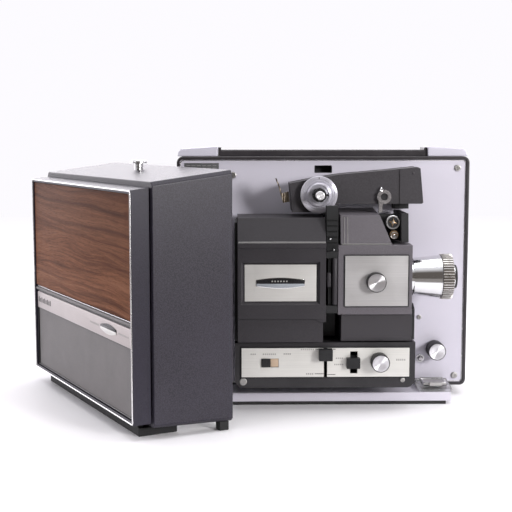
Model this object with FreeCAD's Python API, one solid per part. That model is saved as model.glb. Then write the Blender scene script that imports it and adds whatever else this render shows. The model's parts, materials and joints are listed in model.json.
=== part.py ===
"""Portable dual-gauge film projector with its case cover taken off and stood beside it.

Frame: +X to the right along the front plate, -Y towards the user, +Z up, millimetres.
The origin is on the table, under the middle of the front plate. Each function makes one node.
"""
import FreeCAD, Part
import math
import os

Vector = FreeCAD.Vector

# Case
CASE_W = 280.0
CASE_BOTTOM = 10.0
CASE_TOP = 232.5
CASE_BACK = 96.0
CASE_R = 6.0
WALL = 3.0
RIM = 2.8
RIM_FRONT = -2.0
SHELL_FRONT = 4.0
PLATE_T = 1.6

# Base under the mechanism
LEDGE_FRONT = -38.0
LEDGE_TOP = 11.5
STRIP_H = 3.2

# Mechanism housings, all in front of the plate
HOUSE_BACK = -10.4
LAMP_L, LAMP_R = -82.4, -3.2
LAMP_FRONT = -76.0
LAMP_STEP, LAMP_TOP = 88.0, 178.5
GATE_L, GATE_R = 8.3, 75.5
GATE_FRONT = -70.0
GATE_STEP, GATE_TOP = 91.0, 154.2
LOW_L, LOW_R = 11.8, 76.2
FOCUS = (42.4, 121.2)
HOUSE_BOTTOM = 65.5
HOUSE_WALL = 2.4

# Frame behind the housings
SLAB_FRONT = -10.0
FRAME_R = 80.0

# Optical axis, along X
AXIS_Y, AXIS_Z = -45.0, 122.5
BARREL_R = 15.0
LENS_HOLE_R = 18.2
NOSE_R = 17.4
CELL_R = 10.8

# Control panel
PANEL_L, PANEL_R = -84.9, 80.2
PANEL_BOTTOM, PANEL_TOP = 22.3, 64.3
PANEL_FRONT = -64.0
PANEL_CORNER_R = 8.0
FACE_L, FACE_R = -79.4, 75.4
FACE_BOTTOM, FACE_TOP = 32.0, 60.0
FACE_T = 0.8
POWER_WINDOW = (-60.8, -45.0, 41.7, 49.8)
FORMAT_SLOT = (-3.6, -0.6, 32.6, 59.4)
STILL_SLOT = (20.4, 27.2, 35.8, 56.2)
CONTROL_SLOTS = (POWER_WINDOW, FORMAT_SLOT, STILL_SLOT)
SPEED = (47.2, 47.0)
SPEED_SHAFT_R = 3.0
PANEL_SCREWS = ((-77.4, 28.2), (68.8, 29.4))
SLIDE_GAP = 0.3
SLIDE_T = 1.5

# Film trimmer on the ledge
TRIMMER_L, TRIMMER_R = 89.5, 120.5
BLADE_L, BLADE_R = 94.4, 116.2
BLADE_HINGE = (-8.4, 17.8)

# Reel arms
ARM_BACK, ARM_FRONT = -14.0, -46.0
ARM_PIVOT = (74.0, 201.5)
SUPPLY = (-8.0, 198.6)
TAKE_PIVOT = (-112.0, 62.0)
TAKE_SPINDLE_Z = 166.0
TAKE_FRONT = -40.0
TAKE_HALF = 12.0
PIN_R = 4.0
RUNNING = 0.05
DISC_R = 17.0
HUB_R = 6.35
SPINDLE_R = 3.95
SPINDLE_SHAFT_R = 3.0
LATCH = (52.0, 196.6)
LATCH_PIN_R = 2.0

# Motor and shutter, both turning about X
MOTOR_Y, MOTOR_Z = 48.0, 80.0
SHUTTER_Y, SHUTTER_Z = -41.0, 97.5
BELT_X = -26.0
SHAFT_R = 2.5
MOTOR_PULLEY_R, SHUTTER_PULLEY_R = 6.0, 10.0

BELT_SLOT = (BELT_X - 5.0, BELT_X + 5.0, 66.0, 112.0)

# Sprocket, turning about Y
SPROCKET_X, SPROCKET_Z = 59.0, 173.8
SPROCKET_HOLE_R = 4.0

# Fittings on the front plate
SCREW_SPOTS = ((128.6, 221.4), (129.2, 19.5), (-86.4, 214.8), (-128.6, 19.5))
SMALL_SCREW = (93.9, 77.0)
SOCKET = (-8.1, 7.7, 217.3, 223.5)
MODE = (109.4, 45.8)
MODE_SHAFT_R = 3.25
BUTTON = (95.6, 36.5)
BUTTON_R = 2.5

# Lift-up handle
HANDLE_HALF = 100.6
HANDLE_Y0, HANDLE_Y1 = 9.0, 33.0
HANDLE_Z0, HANDLE_Z1 = 232.9, 238.8
HANDLE_LEG_X = 95.0
HANDLE_LEG_HALF = 3.0
HANDLE_LEG_Y = 21.0

# Cover, in its own axes: u along its width, v from its front inwards, z up
COVER_X, COVER_Y = -230.1, -44.6
COVER_TURN = -63.0
FRAME_HALF = 134.5
FRAME_BOTTOM, FRAME_TOP = 13.8, 208.6
FRAME_DEPTH = 16.4
BOX_FRONT = 17.3
BOX_HALF_FRONT, BOX_HALF_RIM = 138.2, 139.5
BOX_BOTTOM_FRONT, BOX_BOTTOM_RIM = 10.3, 8.2
BOX_TOP_FRONT, BOX_TOP_RIM = 215.0, 223.8
BOX_RIM_V = 90.0
COVER_WALL = 3.0
STRIP_Z0, STRIP_Z1 = 77.5, 94.0
PANEL_MARGIN = 3.4
PANEL_SEAT = 4.18
LATCH_V = 62.0
LATCH_BORE_R = 4.15
LATCH_TOP = 229.6


# ---------------------------------------------------------------- plain shapes
def box(x0, x1, y0, y1, z0, z1):
    lo = Vector(min(x0, x1), min(y0, y1), min(z0, z1))
    return Part.makeBox(abs(x1 - x0), abs(y1 - y0), abs(z1 - z0), lo)


def rod_x(y, z, r, x0, x1):
    return Part.makeCylinder(r, abs(x1 - x0), Vector(min(x0, x1), y, z), Vector(1, 0, 0))


def rod_y(x, z, r, y0, y1):
    return Part.makeCylinder(r, abs(y1 - y0), Vector(x, min(y0, y1), z), Vector(0, 1, 0))


def rod_z(x, y, r, z0, z1):
    return Part.makeCylinder(r, abs(z1 - z0), Vector(x, y, min(z0, z1)))


def cone_x(y, z, r0, r1, x0, x1):
    return Part.makeCone(r0, r1, x1 - x0, Vector(x0, y, z), Vector(1, 0, 0))


def prism(points, direction):
    """A closed polygon swept along a straight direction."""
    corners = [Vector(*p) for p in points]
    wire = Part.makePolygon(corners + [corners[0]])
    return Part.Face(wire).extrude(Vector(*direction))


def prism_x(yz, x0, x1):
    return prism([(x0, y, z) for y, z in yz], (x1 - x0, 0, 0))


def prism_y(xz, y0, y1):
    return prism([(x, y0, z) for x, z in xz], (0, y1 - y0, 0))


def prism_z(xy, z0, z1):
    return prism([(x, y, z0) for x, y in xy], (0, 0, z1 - z0))


def edges_along(shape, axis, where=lambda c: True):
    """The straight edges that run along one axis and whose middle passes a test."""
    found = []
    for edge in shape.Edges:
        if len(edge.Vertexes) != 2:
            continue
        run = edge.Vertexes[1].Point - edge.Vertexes[0].Point
        if run.Length > 1e-6 and abs(abs(run.normalize().dot(axis)) - 1) < 1e-4:
            if where(edge.CenterOfMass):
                found.append(edge)
    return found


def rounded_y(x0, x1, z0, z1, y0, y1, r):
    """A block whose four edges along Y are rounded."""
    block = box(x0, x1, y0, y1, z0, z1)
    return block.makeFillet(r, edges_along(block, Vector(0, 1, 0)))


def fused(shapes):
    whole = shapes[0].fuse(shapes[1:]) if len(shapes) > 1 else shapes[0]
    return whole.removeSplitter()


def cut(shape, tools):
    return shape.cut(Part.makeCompound(tools)).removeSplitter()


def ring_y(x, z, r_out, r_in, y0, y1):
    return rod_y(x, z, r_out, y0, y1).cut(rod_y(x, z, r_in, y0, y1))


def belt_loop(a, b, ra, rb, width, thick, place):
    """A flat belt round two round pulleys a and b, given in a plane; place maps (s, t, w) to space."""
    dx, dy = b[0] - a[0], b[1] - a[1]
    span = math.hypot(dx, dy)
    heading = math.atan2(dy, dx)
    lean = math.asin((ra - rb) / span)

    def outline(grow):
        r1, r2 = ra + grow, rb + grow
        up, down = heading + math.pi / 2 - lean, heading - math.pi / 2 + lean

        def on(c, r, angle):
            return place(c[0] + r * math.cos(angle), c[1] + r * math.sin(angle), 0)

        first = Part.makeLine(on(a, r1, up), on(b, r2, up))
        turn_b = Part.Arc(on(b, r2, up), on(b, r2, heading), on(b, r2, down)).toShape()
        back = Part.makeLine(on(b, r2, down), on(a, r1, down))
        turn_a = Part.Arc(on(a, r1, down), on(a, r1, heading + math.pi), on(a, r1, up)).toShape()
        return Part.Face(Part.Wire([first, turn_b, back, turn_a]))

    depth = place(0, 0, width) - place(0, 0, 0)
    return outline(thick).extrude(depth).cut(outline(0.0).extrude(depth))


# ---------------------------------------------------------------- case
def handle_slots(grow):
    half_x, half_y = HANDLE_LEG_HALF + grow, 1.7 + grow
    return [box(s * HANDLE_LEG_X - half_x, s * HANDLE_LEG_X + half_x,
                HANDLE_LEG_Y - half_y, HANDLE_LEG_Y + half_y, CASE_TOP - 6, CASE_TOP + 1)
            for s in (-1, 1)]


def case_shell():
    half = CASE_W / 2
    outer = rounded_y(-half, half, CASE_BOTTOM, CASE_TOP, SHELL_FRONT, CASE_BACK, CASE_R)
    rear = [e for e in outer.Edges if abs(e.CenterOfMass.y - CASE_BACK) < 1e-3]
    outer = outer.makeFillet(4.0, rear)
    inner = rounded_y(-half + WALL, half - WALL, CASE_BOTTOM + WALL, CASE_TOP - WALL,
                      SHELL_FRONT - 1, CASE_BACK - WALL, CASE_R - WALL)
    shell = outer.cut(inner)
    posts = [rod_y(x, z, 4.5, PLATE_T, CASE_BACK - 1) for x, z in SCREW_SPOTS]
    slats = [box(-95 + 9 * i, -91 + 9 * i, CASE_BACK - 5, CASE_BACK + 1, z, z + 34)
             for i in range(9) for z in (120, 165)]
    slats += [box(10 + 9 * i, 14 + 9 * i, CASE_BACK - 5, CASE_BACK + 1, 60, 100) for i in range(9)]
    inlet = box(95, 123, CASE_BACK - 5, CASE_BACK + 1, 30, 50)
    bottom_slots = [box(-60 + 12 * i, -54 + 12 * i, 30, 70, CASE_BOTTOM - 1, CASE_BOTTOM + 4)
                    for i in range(6)]
    return cut(fused([shell] + posts), slats + bottom_slots + [inlet] + handle_slots(0.4))


def front_bezel():
    half = CASE_W / 2
    outer = rounded_y(-half, half, CASE_BOTTOM, CASE_TOP, RIM_FRONT, SHELL_FRONT, CASE_R)
    front = [e for e in outer.Edges if abs(e.CenterOfMass.y - RIM_FRONT) < 1e-3]
    outer = outer.makeFillet(1.2, front)
    inner = rounded_y(-half + RIM, half - RIM, CASE_BOTTOM + RIM, CASE_TOP - RIM,
                      RIM_FRONT - 1, SHELL_FRONT + 1, CASE_R - RIM)
    return outer.cut(inner)


def front_plate():
    half, gap = CASE_W / 2 - RIM, 0.1
    plate = rounded_y(-half + gap, half - gap, CASE_BOTTOM + RIM + gap, CASE_TOP - RIM - gap,
                      0.0, PLATE_T, CASE_R - RIM)
    holes = [rod_y(x, z, 2.1, -1, PLATE_T + 1) for x, z in SCREW_SPOTS + (SMALL_SCREW,)]
    holes.append(rod_y(*MODE, MODE_SHAFT_R + RUNNING, -1, PLATE_T + 1))
    holes.append(rod_y(*BUTTON, BUTTON_R + 0.1, -1, PLATE_T + 1))
    holes.append(rod_y(SPROCKET_X, SPROCKET_Z, SPROCKET_HOLE_R, -1, PLATE_T + 1))
    holes.append(box(*SOCKET[:2], -1, PLATE_T + 1, *SOCKET[2:]))
    holes.append(box(*BELT_SLOT[:2], -1, PLATE_T + 1, *BELT_SLOT[2:]))
    return cut(plate, holes)


def catch_socket():
    """The black lined pocket behind the slot that the cover's catch drops into."""
    x0, x1, z0, z1 = SOCKET
    outer = box(x0 - 1.5, x1 + 1.5, PLATE_T, 14, z0 - 1.5, z1 + 1.5)
    return outer.cut(box(x0, x1, PLATE_T - 1, 12.5, z0, z1))


def base_ledge():
    outline = [(-119, LEDGE_FRONT), (119, LEDGE_FRONT), (123.5, -0.2), (-123.5, -0.2)]
    ledge = prism_z(outline, STRIP_H, LEDGE_TOP)
    front_top = [e for e in ledge.Edges if e.CenterOfMass.y < LEDGE_FRONT + 0.1
                 and abs(e.CenterOfMass.z - LEDGE_TOP) < 1e-3]
    ledge = ledge.makeFillet(0.9, front_top)
    # A tongue under the case carries the ledge, which stops short of the case's rim
    tongue = box(-119, 119, -4, 16, STRIP_H, CASE_BOTTOM - 0.05)
    rim_gap = box(-150, 150, RIM_FRONT - 0.1, 20, CASE_BOTTOM - 0.05, LEDGE_TOP + 1)
    hollow = box(-116, 116, LEDGE_FRONT + 2.5, -4, STRIP_H - 1, LEDGE_TOP - 2)
    return cut(fused([ledge, tongue]), [rim_gap, hollow])


def front_foot_strip():
    return box(-114.5, 114.5, LEDGE_FRONT + 0.4, 14, 0, STRIP_H)


def rear_feet():
    feet = [Part.makeCone(9, 7.5, CASE_BOTTOM, Vector(x, 80, CASE_BOTTOM), Vector(0, 0, -1))
            for x in (-118, 118)]
    return Part.makeCompound(feet)


def handle_end_caps():
    """Two silver wedges that close the ends of the handle, each slotted for the bar's end."""
    caps = []
    for side in (-1, 1):
        outline = [(101.2, CASE_TOP), (101.0, 241.8), (104.0, 241.7), (136.0, 239.6),
                   (138.6, 237.0), (139.6, CASE_TOP)]
        cap = prism_y([(side * x, z) for x, z in outline], HANDLE_Y0 - 3, HANDLE_Y1 + 3)
        caps.append(cap.common(box(-200, 200, 0, 60, CASE_TOP + 0.02, 260)))
    return Part.makeCompound(caps)


def handle_bar():
    bar = box(-HANDLE_HALF, HANDLE_HALF, HANDLE_Y0, HANDLE_Y1, HANDLE_Z0, HANDLE_Z1)
    bar = bar.makeFillet(2.0, edges_along(bar, Vector(1, 0, 0), lambda c: c.z > HANDLE_Z1 - 1))
    pieces = [bar]
    for side in (-1, 1):
        end = side * (HANDLE_HALF - 1.4)
        pieces.append(box(end - 1.4, end + 1.4, HANDLE_Y0, HANDLE_Y1, HANDLE_Z0, 241.0))
        leg_x = side * HANDLE_LEG_X
        x0, x1 = leg_x - HANDLE_LEG_HALF, leg_x + HANDLE_LEG_HALF
        pieces.append(box(x0, x1, HANDLE_LEG_Y - 1.7, HANDLE_LEG_Y + 1.7, 205, HANDLE_Z0 + 1))
        pieces.append(box(x0, x1, HANDLE_LEG_Y - 6, HANDLE_LEG_Y + 6, 205, 208))
    return fused(pieces)


def cross_screw(x, z, y, r, height, depth):
    """A domed cross-head screw whose head stands out towards -Y from the face at y."""
    head = rod_y(x, z, r, y - height, y)
    rim = [e for e in head.Edges if abs(e.CenterOfMass.y - (y - height)) < 1e-3]
    head = head.makeFillet(height * 0.6, rim)
    slot = [box(x - r * 0.62, x + r * 0.62, y - height - 1, y - height * 0.35, z - 0.35, z + 0.35),
            box(x - 0.35, x + 0.35, y - height - 1, y - height * 0.35, z - r * 0.62, z + r * 0.62)]
    return fused([cut(head, slot), rod_y(x, z, 1.6, y - 0.01, y + depth)])


def screws():
    plate = [cross_screw(x, z, 0.0, 3.2, 1.5, PLATE_T - 0.05) for x, z in SCREW_SPOTS]
    plate.append(cross_screw(*SMALL_SCREW, 0.0, 2.3, 1.2, PLATE_T - 0.05))
    wide, small = PANEL_SCREWS
    panel = [cross_screw(*wide, PANEL_FRONT, 3.4, 0.9, 5), cross_screw(*small, PANEL_FRONT, 2.2, 1.2, 5)]
    return Part.makeCompound(plate + panel)


def power_inlet():
    body = box(95.2, 122.8, 74, CASE_BACK - 0.2, 30.2, 49.8)
    well = box(99, 119, 80, CASE_BACK + 1, 34, 46)
    pins = [rod_y(x, 40, 1.3, 79, 92) for x in (104, 114)]
    return fused([body.cut(well)] + pins)


# ---------------------------------------------------------------- mechanism, fixed
def frame_slab():
    """The frame's thin back plate, ribbed behind, with the belt's slot and the sprocket's bore."""
    slab = box(PANEL_L, FRAME_R, SLAB_FRONT, -0.02, 24.0, 176.0)
    slab = slab.makeFillet(6.0, edges_along(slab, Vector(0, 1, 0)))
    pitch_x, pitch_z, rib = 32.4, 28.8, 3.0
    pockets = [box(PANEL_L + 2 + pitch_x * i + rib, PANEL_L + 2 + pitch_x * (i + 1), SLAB_FRONT + 3.2, 0,
                   26 + pitch_z * j + rib, 26 + pitch_z * (j + 1)) for i in range(5) for j in range(5)]
    holes = [box(*BELT_SLOT[:2], SLAB_FRONT - 1, 1, *BELT_SLOT[2:]),
             rod_y(SPROCKET_X, SPROCKET_Z, SPROCKET_HOLE_R, SLAB_FRONT - 1, 1)]
    return cut(slab, holes + pockets)


def mechanism_frame():
    """The black frame that the housings close on: the plate, two cheeks, the gap's back wall and the
    lens's mount, with the shutter's bearing and the pivot pins of both reel arms."""
    back = SLAB_FRONT - 0.02
    left = prism_x([(back, 66.5), (-66, 66.5), (-66, 150), (-58, 174), (back, 174)], PANEL_L, LAMP_L - 0.5)
    right = prism_x([(back, 66), (-58, 66), (-58, 94), (-50, 98), (back, 98)], GATE_R + 2.1, FRAME_R)
    shelf = box(LAMP_R + 0.5, GATE_L - 0.3, -44, back, 67, 181.4)
    bearing = box(-17, -13, -52, back, 90, 105).cut(rod_x(SHUTTER_Y, SHUTTER_Z, SHAFT_R + RUNNING, -18, -12))
    bracket = [box(66, FRAME_R, -13.6, -0.02, 183.4, 214), rod_y(*ARM_PIVOT, 9, -13.6, -0.02),
               rod_y(*ARM_PIVOT, PIN_R, -40, -13)]
    take_up = [rod_y(*TAKE_PIVOT, 9, -9.6, -0.02), rod_y(*TAKE_PIVOT, PIN_R, -35, -9)]
    return Part.makeCompound([frame_slab(), left, right, shelf, bearing, lens_mount(), fused(bracket),
                              fused(take_up)])


def lamp_socket():
    """A ceramic socket on a bent bracket, at the lamp's back."""
    return fused([box(-79, -76, -58, -10.02, 108, 137), box(-76, -66, -56, -34, 111.5, 133.5),
                  box(-79, -70, -14, -10.02, 100, 145)])


def projection_lamp():
    """A lamp with its own bowl reflector, which faces the gate."""
    outer = Part.makeCone(6, 21, 20, Vector(-62, AXIS_Y, AXIS_Z), Vector(1, 0, 0))
    inner = Part.makeCone(4, 19.6, 18.8, Vector(-60.8, AXIS_Y, AXIS_Z), Vector(1, 0, 0))
    bulb = rod_x(AXIS_Y, AXIS_Z, 3.2, -63, -48)
    return fused([outer.cut(inner), rod_x(AXIS_Y, AXIS_Z, 6, -65.9, -60), bulb])


def condenser_lens():
    """A thick lens in a ring that stands on a foot from the frame."""
    x0, x1 = -34.0, -30.0
    glass = rod_x(AXIS_Y, AXIS_Z, 12.9, x0 + 0.5, x1 - 0.5)
    ring = rod_x(AXIS_Y, AXIS_Z, 15, x0, x1).cut(rod_x(AXIS_Y, AXIS_Z, 13, x0 - 1, x1 + 1))
    foot = box(x0, x1, AXIS_Y + 14, -10.02, AXIS_Z - 5, AXIS_Z + 5)
    return Part.makeCompound([fused([ring, foot]), glass])


def film_guide():
    """The ribbed black column that leads the film down to the gate, with two bright pins."""
    column = prism_x([(-60, 149), (-71, 149), (-73, 158), (-73, 182), (-69, 189.5), (-60, 189.5)],
                     -2.6, 7.9)
    grooves = [box(-4, 12, -75, -71.5, z, z + 1.4) for z in (156, 161, 166, 171, 176)]
    web = box(0, 6, -60.02, -44.02, 152, 181)
    pins = [rod_y(0.6, 160.5, 1.0, -74.5, -71), rod_y(4.2, 151.0, 1.0, -74, -70)]
    return fused([cut(column, grooves), web] + pins)


def film_gate():
    """The aperture channel and pressure roller between the two housings."""
    channel = box(-0.4, 7.9, -68, -50, 99.7, 142).cut(box(2.2, 5.6, -69, -51, 99, 143))
    channel = channel.cut(rod_x(AXIS_Y, AXIS_Z, 9, -2, 12))
    back = box(-0.4, 7.9, -50.02, -44.02, 99.7, 142).cut(rod_x(AXIS_Y, AXIS_Z, 5, -2, 12))
    upper = box(-2.5, 7.9, -70, -44.02, 142.4, 148.6)
    lower = box(-2.5, 7.9, -70, -44.02, 92.4, 99.3)
    roller = rod_z(3.9, -64, 1.5, 99.4, 142.3)
    return Part.makeCompound([fused([channel, back]), upper, lower, roller])


def sprocket_shoe():
    """A small brass shoe on a post that keeps the film on the sprocket."""
    post = rod_y(60.2, 162.6, 1.6, -55, -44.2)
    shoe = rod_y(60.2, 162.6, 4.0, -58, -54).cut(rod_y(SPROCKET_X, SPROCKET_Z, 7.6, -60, -50))
    return fused([shoe, post])


def sprocket_housing():
    """The dark recess that holds the sprocket, at the gate housing's upper right."""
    wall = prism_y([(57.4, 156.2), (66.2, 156.2), (66.2, 180.5), (47.1, 180.5)], -44, -39)
    side = prism_x([(-10.4, 156.2), (-64, 156.2), (-61, 182), (-10.4, 182)], 66.0, 72.6)
    return cut(fused([wall, side]), [rod_y(SPROCKET_X, SPROCKET_Z, SPROCKET_HOLE_R, -46, -30)])


def gate_housing():
    """The grey cover over the gate and lens, with the focus shaft's bore and the lens's hole."""
    w, back, front, top = HOUSE_WALL, HOUSE_BACK, GATE_FRONT, GATE_TOP
    main_out = [(back, GATE_STEP), (front, GATE_STEP), (front, top), (back, top)]
    main_space = box(GATE_L + w, GATE_R - w, front + w, back + 1, GATE_STEP - 1, top - w)
    main = prism_x(main_out, GATE_L, GATE_R).cut(main_space)
    main = main.makeFillet(0.8, edges_along(main, Vector(1, 0, 0), lambda c: c.y < front + 0.1))
    low_out = [(back, HOUSE_BOTTOM), (front + 7, HOUSE_BOTTOM), (front + 3.5, 72), (front + 3.5, GATE_STEP),
               (back, GATE_STEP)]
    low_in = [(back + 1, HOUSE_BOTTOM + w), (front + 8.5, HOUSE_BOTTOM + w), (front + 3.5 + w, 73),
              (front + 3.5 + w, GATE_STEP + 1), (back + 1, GATE_STEP + 1)]
    low = prism_x(low_out, LOW_L, LOW_R).cut(prism_x(low_in, LOW_L + w, LOW_R - w))
    # The sloping hood on top, a casting of its own, cut off along a slant on its right
    seat = top + 0.02
    hood_out = [(back, seat), (front + 2, seat), (front + 7.5, 180.6), (back, 184.5)]
    hood_in = [(back + 1, 150), (front + 5, 150), (front + 9.6, 177.5), (back + 1, 181.5)]
    outside = [(57.0, 155), (46.2, 180.9), (46.2, 190), (60, 190), (60, 155)]
    inside = [(54.0, 154), (43.8, 179), (43.8, 190), (60, 190), (60, 154)]
    hood = prism_x(hood_out, 10.6, 57.0).cut(prism_y(outside, -80, 0))
    hood_space = prism_x(hood_in, 13.0, 54.0).cut(prism_y(inside, -80, 0))
    lens_hole = rod_x(AXIS_Y, AXIS_Z, LENS_HOLE_R, GATE_R - 6, GATE_R + 5)
    light_hole = rod_x(AXIS_Y, AXIS_Z, 13, GATE_L - 2, GATE_L + 6)
    knob_bore = rod_y(*FOCUS, PIN_R + RUNNING, front - 1, front + 6)
    return Part.makeCompound([cut(fused([main, low]), [lens_hole, light_hole, knob_bore]),
                              hood.cut(hood_space)])


def gate_plate():
    plate = box(14.2, 72.0, GATE_FRONT - 0.9, GATE_FRONT - 0.02, 98.5, 145.2)
    return plate.cut(rod_y(*FOCUS, PIN_R + RUNNING, GATE_FRONT - 2, GATE_FRONT))


def lens_mount():
    """The tube that the lens slides in, on a foot from the frame's slab."""
    foot = box(30, 62, AXIS_Y + 15.5, SLAB_FRONT - 0.02, AXIS_Z - 6, AXIS_Z + 6)
    tube = fused([rod_x(AXIS_Y, AXIS_Z, 18.0, 26, 66), foot])
    return tube.cut(rod_x(AXIS_Y, AXIS_Z, BARREL_R + RUNNING, 25, 67))


def control_openings(y0, y1):
    """The three slots and the speed shaft's bore, which pass through the moulding and its face."""
    slots = [box(x0, x1, y0, y1, z0, z1) for x0, x1, z0, z1 in CONTROL_SLOTS]
    return slots + [rod_y(*SPEED, SPEED_SHAFT_R + RUNNING, y0, y1)]


def control_panel():
    """The dark moulding under the housings; its front corners at the bottom are rounded."""
    w, r = HOUSE_WALL, PANEL_CORNER_R
    outer = box(PANEL_L, PANEL_R, PANEL_FRONT, HOUSE_BACK, PANEL_BOTTOM, PANEL_TOP)
    outer = outer.makeFillet(r, edges_along(outer, Vector(0, 1, 0), lambda c: c.z < PANEL_BOTTOM + 1))
    inner = box(PANEL_L + w, PANEL_R - w, PANEL_FRONT + w, HOUSE_BACK + 1, PANEL_BOTTOM + w, PANEL_TOP - w)
    inner = inner.makeFillet(r - w, edges_along(inner, Vector(0, 1, 0), lambda c: c.z < PANEL_BOTTOM + w + 1))
    screw_holes = [rod_y(x, z, 1.7, PANEL_FRONT - 1, PANEL_FRONT + 6) for x, z in PANEL_SCREWS]
    return cut(outer.cut(inner), control_openings(PANEL_FRONT - 1, PANEL_FRONT + w + 1) + screw_holes)


def control_face():
    face = box(FACE_L, FACE_R, PANEL_FRONT - FACE_T, PANEL_FRONT - 0.02, FACE_BOTTOM, FACE_TOP)
    return cut(face, control_openings(PANEL_FRONT - 2, PANEL_FRONT + 1))


def film_trimmer_base():
    """A clear plastic block on the ledge where the film's end is cut square."""
    side = [(-36, LEDGE_TOP + 0.02), (-4, LEDGE_TOP + 0.02), (-4, 17.5), (-30, 15.5), (-36, 13.5)]
    base = prism_x(side, TRIMMER_L, TRIMMER_R)
    groove = box(BLADE_L - 0.4, BLADE_R + 0.4, -30, -6.4, 14.4, 20)
    pegs = [rod_z(x, -19, 0.8, 14, 16.4) for x in (BLADE_L + 2.1, BLADE_R - 2.1)]
    return fused([base.cut(groove)] + pegs)


def film_trimmer_blade():
    """A metal cutter that hinges on the block's back edge."""
    arm = box(BLADE_L, BLADE_R, -29, BLADE_HINGE[0], 16.6, 18.2)
    tab = box(BLADE_L + 5, BLADE_R - 5, -33.5, -28.9, 16.6, 19.6)
    return fused([arm, tab, rod_x(*BLADE_HINGE, 1.4, BLADE_L, BLADE_R)])


# ---------------------------------------------------------------- mechanism, moving
def lamp_house():
    """The grey lamp cover, which pulls straight off towards the user. It is open at the back."""
    w, back, front, foot = HOUSE_WALL, HOUSE_BACK, LAMP_FRONT, HOUSE_BOTTOM + 1
    ridge = [(front, 151.5), (front - 1.4, 153), (front - 1.4, 156.5), (front + 0.4, 158)]
    side_out = [(back, foot), (front + 2, foot), (front + 2, LAMP_STEP), (front, LAMP_STEP)] + ridge
    side_out += [(-64, LAMP_TOP), (back, LAMP_TOP)]
    side_in = [(back + 1, foot + w), (front + 6.5, foot + w), (front + 6.5, 156), (-61.5, LAMP_TOP - w),
               (back + 1, LAMP_TOP - w)]
    shell = prism_x(side_out, LAMP_L, LAMP_R).cut(prism_x(side_in, LAMP_L + w, LAMP_R - w))
    # Recess for the plate, with sloping sides
    near = [(-79.3, 101.0), (-8.4, 101.0), (-8.4, 140.0), (-79.3, 140.0)]
    deep = [(-76.6, 103.6), (-11.2, 103.6), (-11.2, 137.6), (-76.6, 137.6)]
    loops = [Part.makePolygon([Vector(x, y, z) for x, z in ring + ring[:1]])
             for ring, y in ((near, front - 0.01), (deep, front + 3.2))]
    recess = Part.makeLoft(loops, True, True)
    # The right wall steps in at the bottom, and a boss stands beside the gate
    notch_x, boss = -5.4, (-5.6, 93.2)
    notch = box(notch_x, LAMP_R + 1, front - 1, back + 1, HOUSE_BOTTOM, LAMP_STEP)
    inner_wall = box(notch_x - w, notch_x, front + 2, back, foot, LAMP_STEP)
    boss_body = rod_y(*boss, 8.2, front + 0.6, -48).common(box(-20, -2.8, -90, 0, 80, 120))
    boss_body = boss_body.cut(box(-20, boss[0], -69.5, 0, 80, 120))
    light = rod_x(AXIS_Y, AXIS_Z, 11, LAMP_R - 5, LAMP_R + 2)
    return cut(fused([shell.cut(notch), inner_wall, boss_body]), [recess, light])


def lamp_house_plate():
    return box(-76.2, -11.6, LAMP_FRONT + 2.2, LAMP_FRONT + 3.18, 103.9, 137.3)


def knurled_knob(x, z, r, y_back, y_front, teeth):
    """A round knob along Y with fine flutes round its skirt and a turned face."""
    body = rod_y(x, z, r, y_front, y_back)
    rim = [e for e in body.Edges if abs(e.CenterOfMass.y - y_front) < 1e-3]
    body = body.makeFillet(0.6, rim)
    flutes = []
    ring = r + 0.25
    for i in range(teeth):
        a = 2 * math.pi * i / teeth
        flute_x, flute_z = x + ring * math.cos(a), z + ring * math.sin(a)
        flutes.append(rod_y(flute_x, flute_z, 0.55, y_back + 0.1, y_front + 1.6))
    return cut(body, flutes)


def focus_knob():
    knob = knurled_knob(*FOCUS, 9.0, GATE_FRONT - 1.4, GATE_FRONT - 9.0, 36)
    shaft = rod_y(*FOCUS, PIN_R, GATE_FRONT - 1.5, GATE_FRONT + 6)
    return fused([knob, shaft])


def lens_barrel():
    """The polished barrel, open along its axis: a flare, the ring's seat and the front glass's cell."""
    tail = rod_x(AXIS_Y, AXIS_Z, BARREL_R, 28, 79.5)
    flare = cone_x(AXIS_Y, AXIS_Z, 17.2, 20.0, 79.4, 104.6)
    nose = rod_x(AXIS_Y, AXIS_Z, NOSE_R, 104.5, 115.4)
    cell = rod_x(AXIS_Y, AXIS_Z, CELL_R, 115.3, 119.6)
    bore = [rod_x(AXIS_Y, AXIS_Z, 12.0, 27, 105), rod_x(AXIS_Y, AXIS_Z, CELL_R - 1.4, 104.9, 121)]
    return cut(fused([tail, flare, nose, cell]), bore)


def lens_glass():
    """The front element, domed forwards, and the rear element near the gate."""
    dome = Part.makeSphere(14.0, Vector(106.2, AXIS_Y, AXIS_Z))
    front = dome.common(rod_x(AXIS_Y, AXIS_Z, CELL_R - 1.45, 112, 121))
    rear = rod_x(AXIS_Y, AXIS_Z, 11.9, 30, 34)
    return Part.makeCompound([front, rear])


def zoom_ring():
    """The knurled ring round the lens's front."""
    body = rod_x(AXIS_Y, AXIS_Z, 21.0, 104.9, 115.2)
    rims = [e for e in body.Edges if abs(e.CenterOfMass.x - 115.2) < 1e-3]
    body = body.makeFillet(1.2, rims)
    flutes, count, ring = [], 48, 21.2
    for i in range(count):
        a = 2 * math.pi * i / count
        flutes.append(rod_x(AXIS_Y + ring * math.cos(a), AXIS_Z + ring * math.sin(a), 0.75, 106.2, 113.6))
    return cut(body, flutes + [rod_x(AXIS_Y, AXIS_Z, NOSE_R + RUNNING, 104, 116)])


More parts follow.
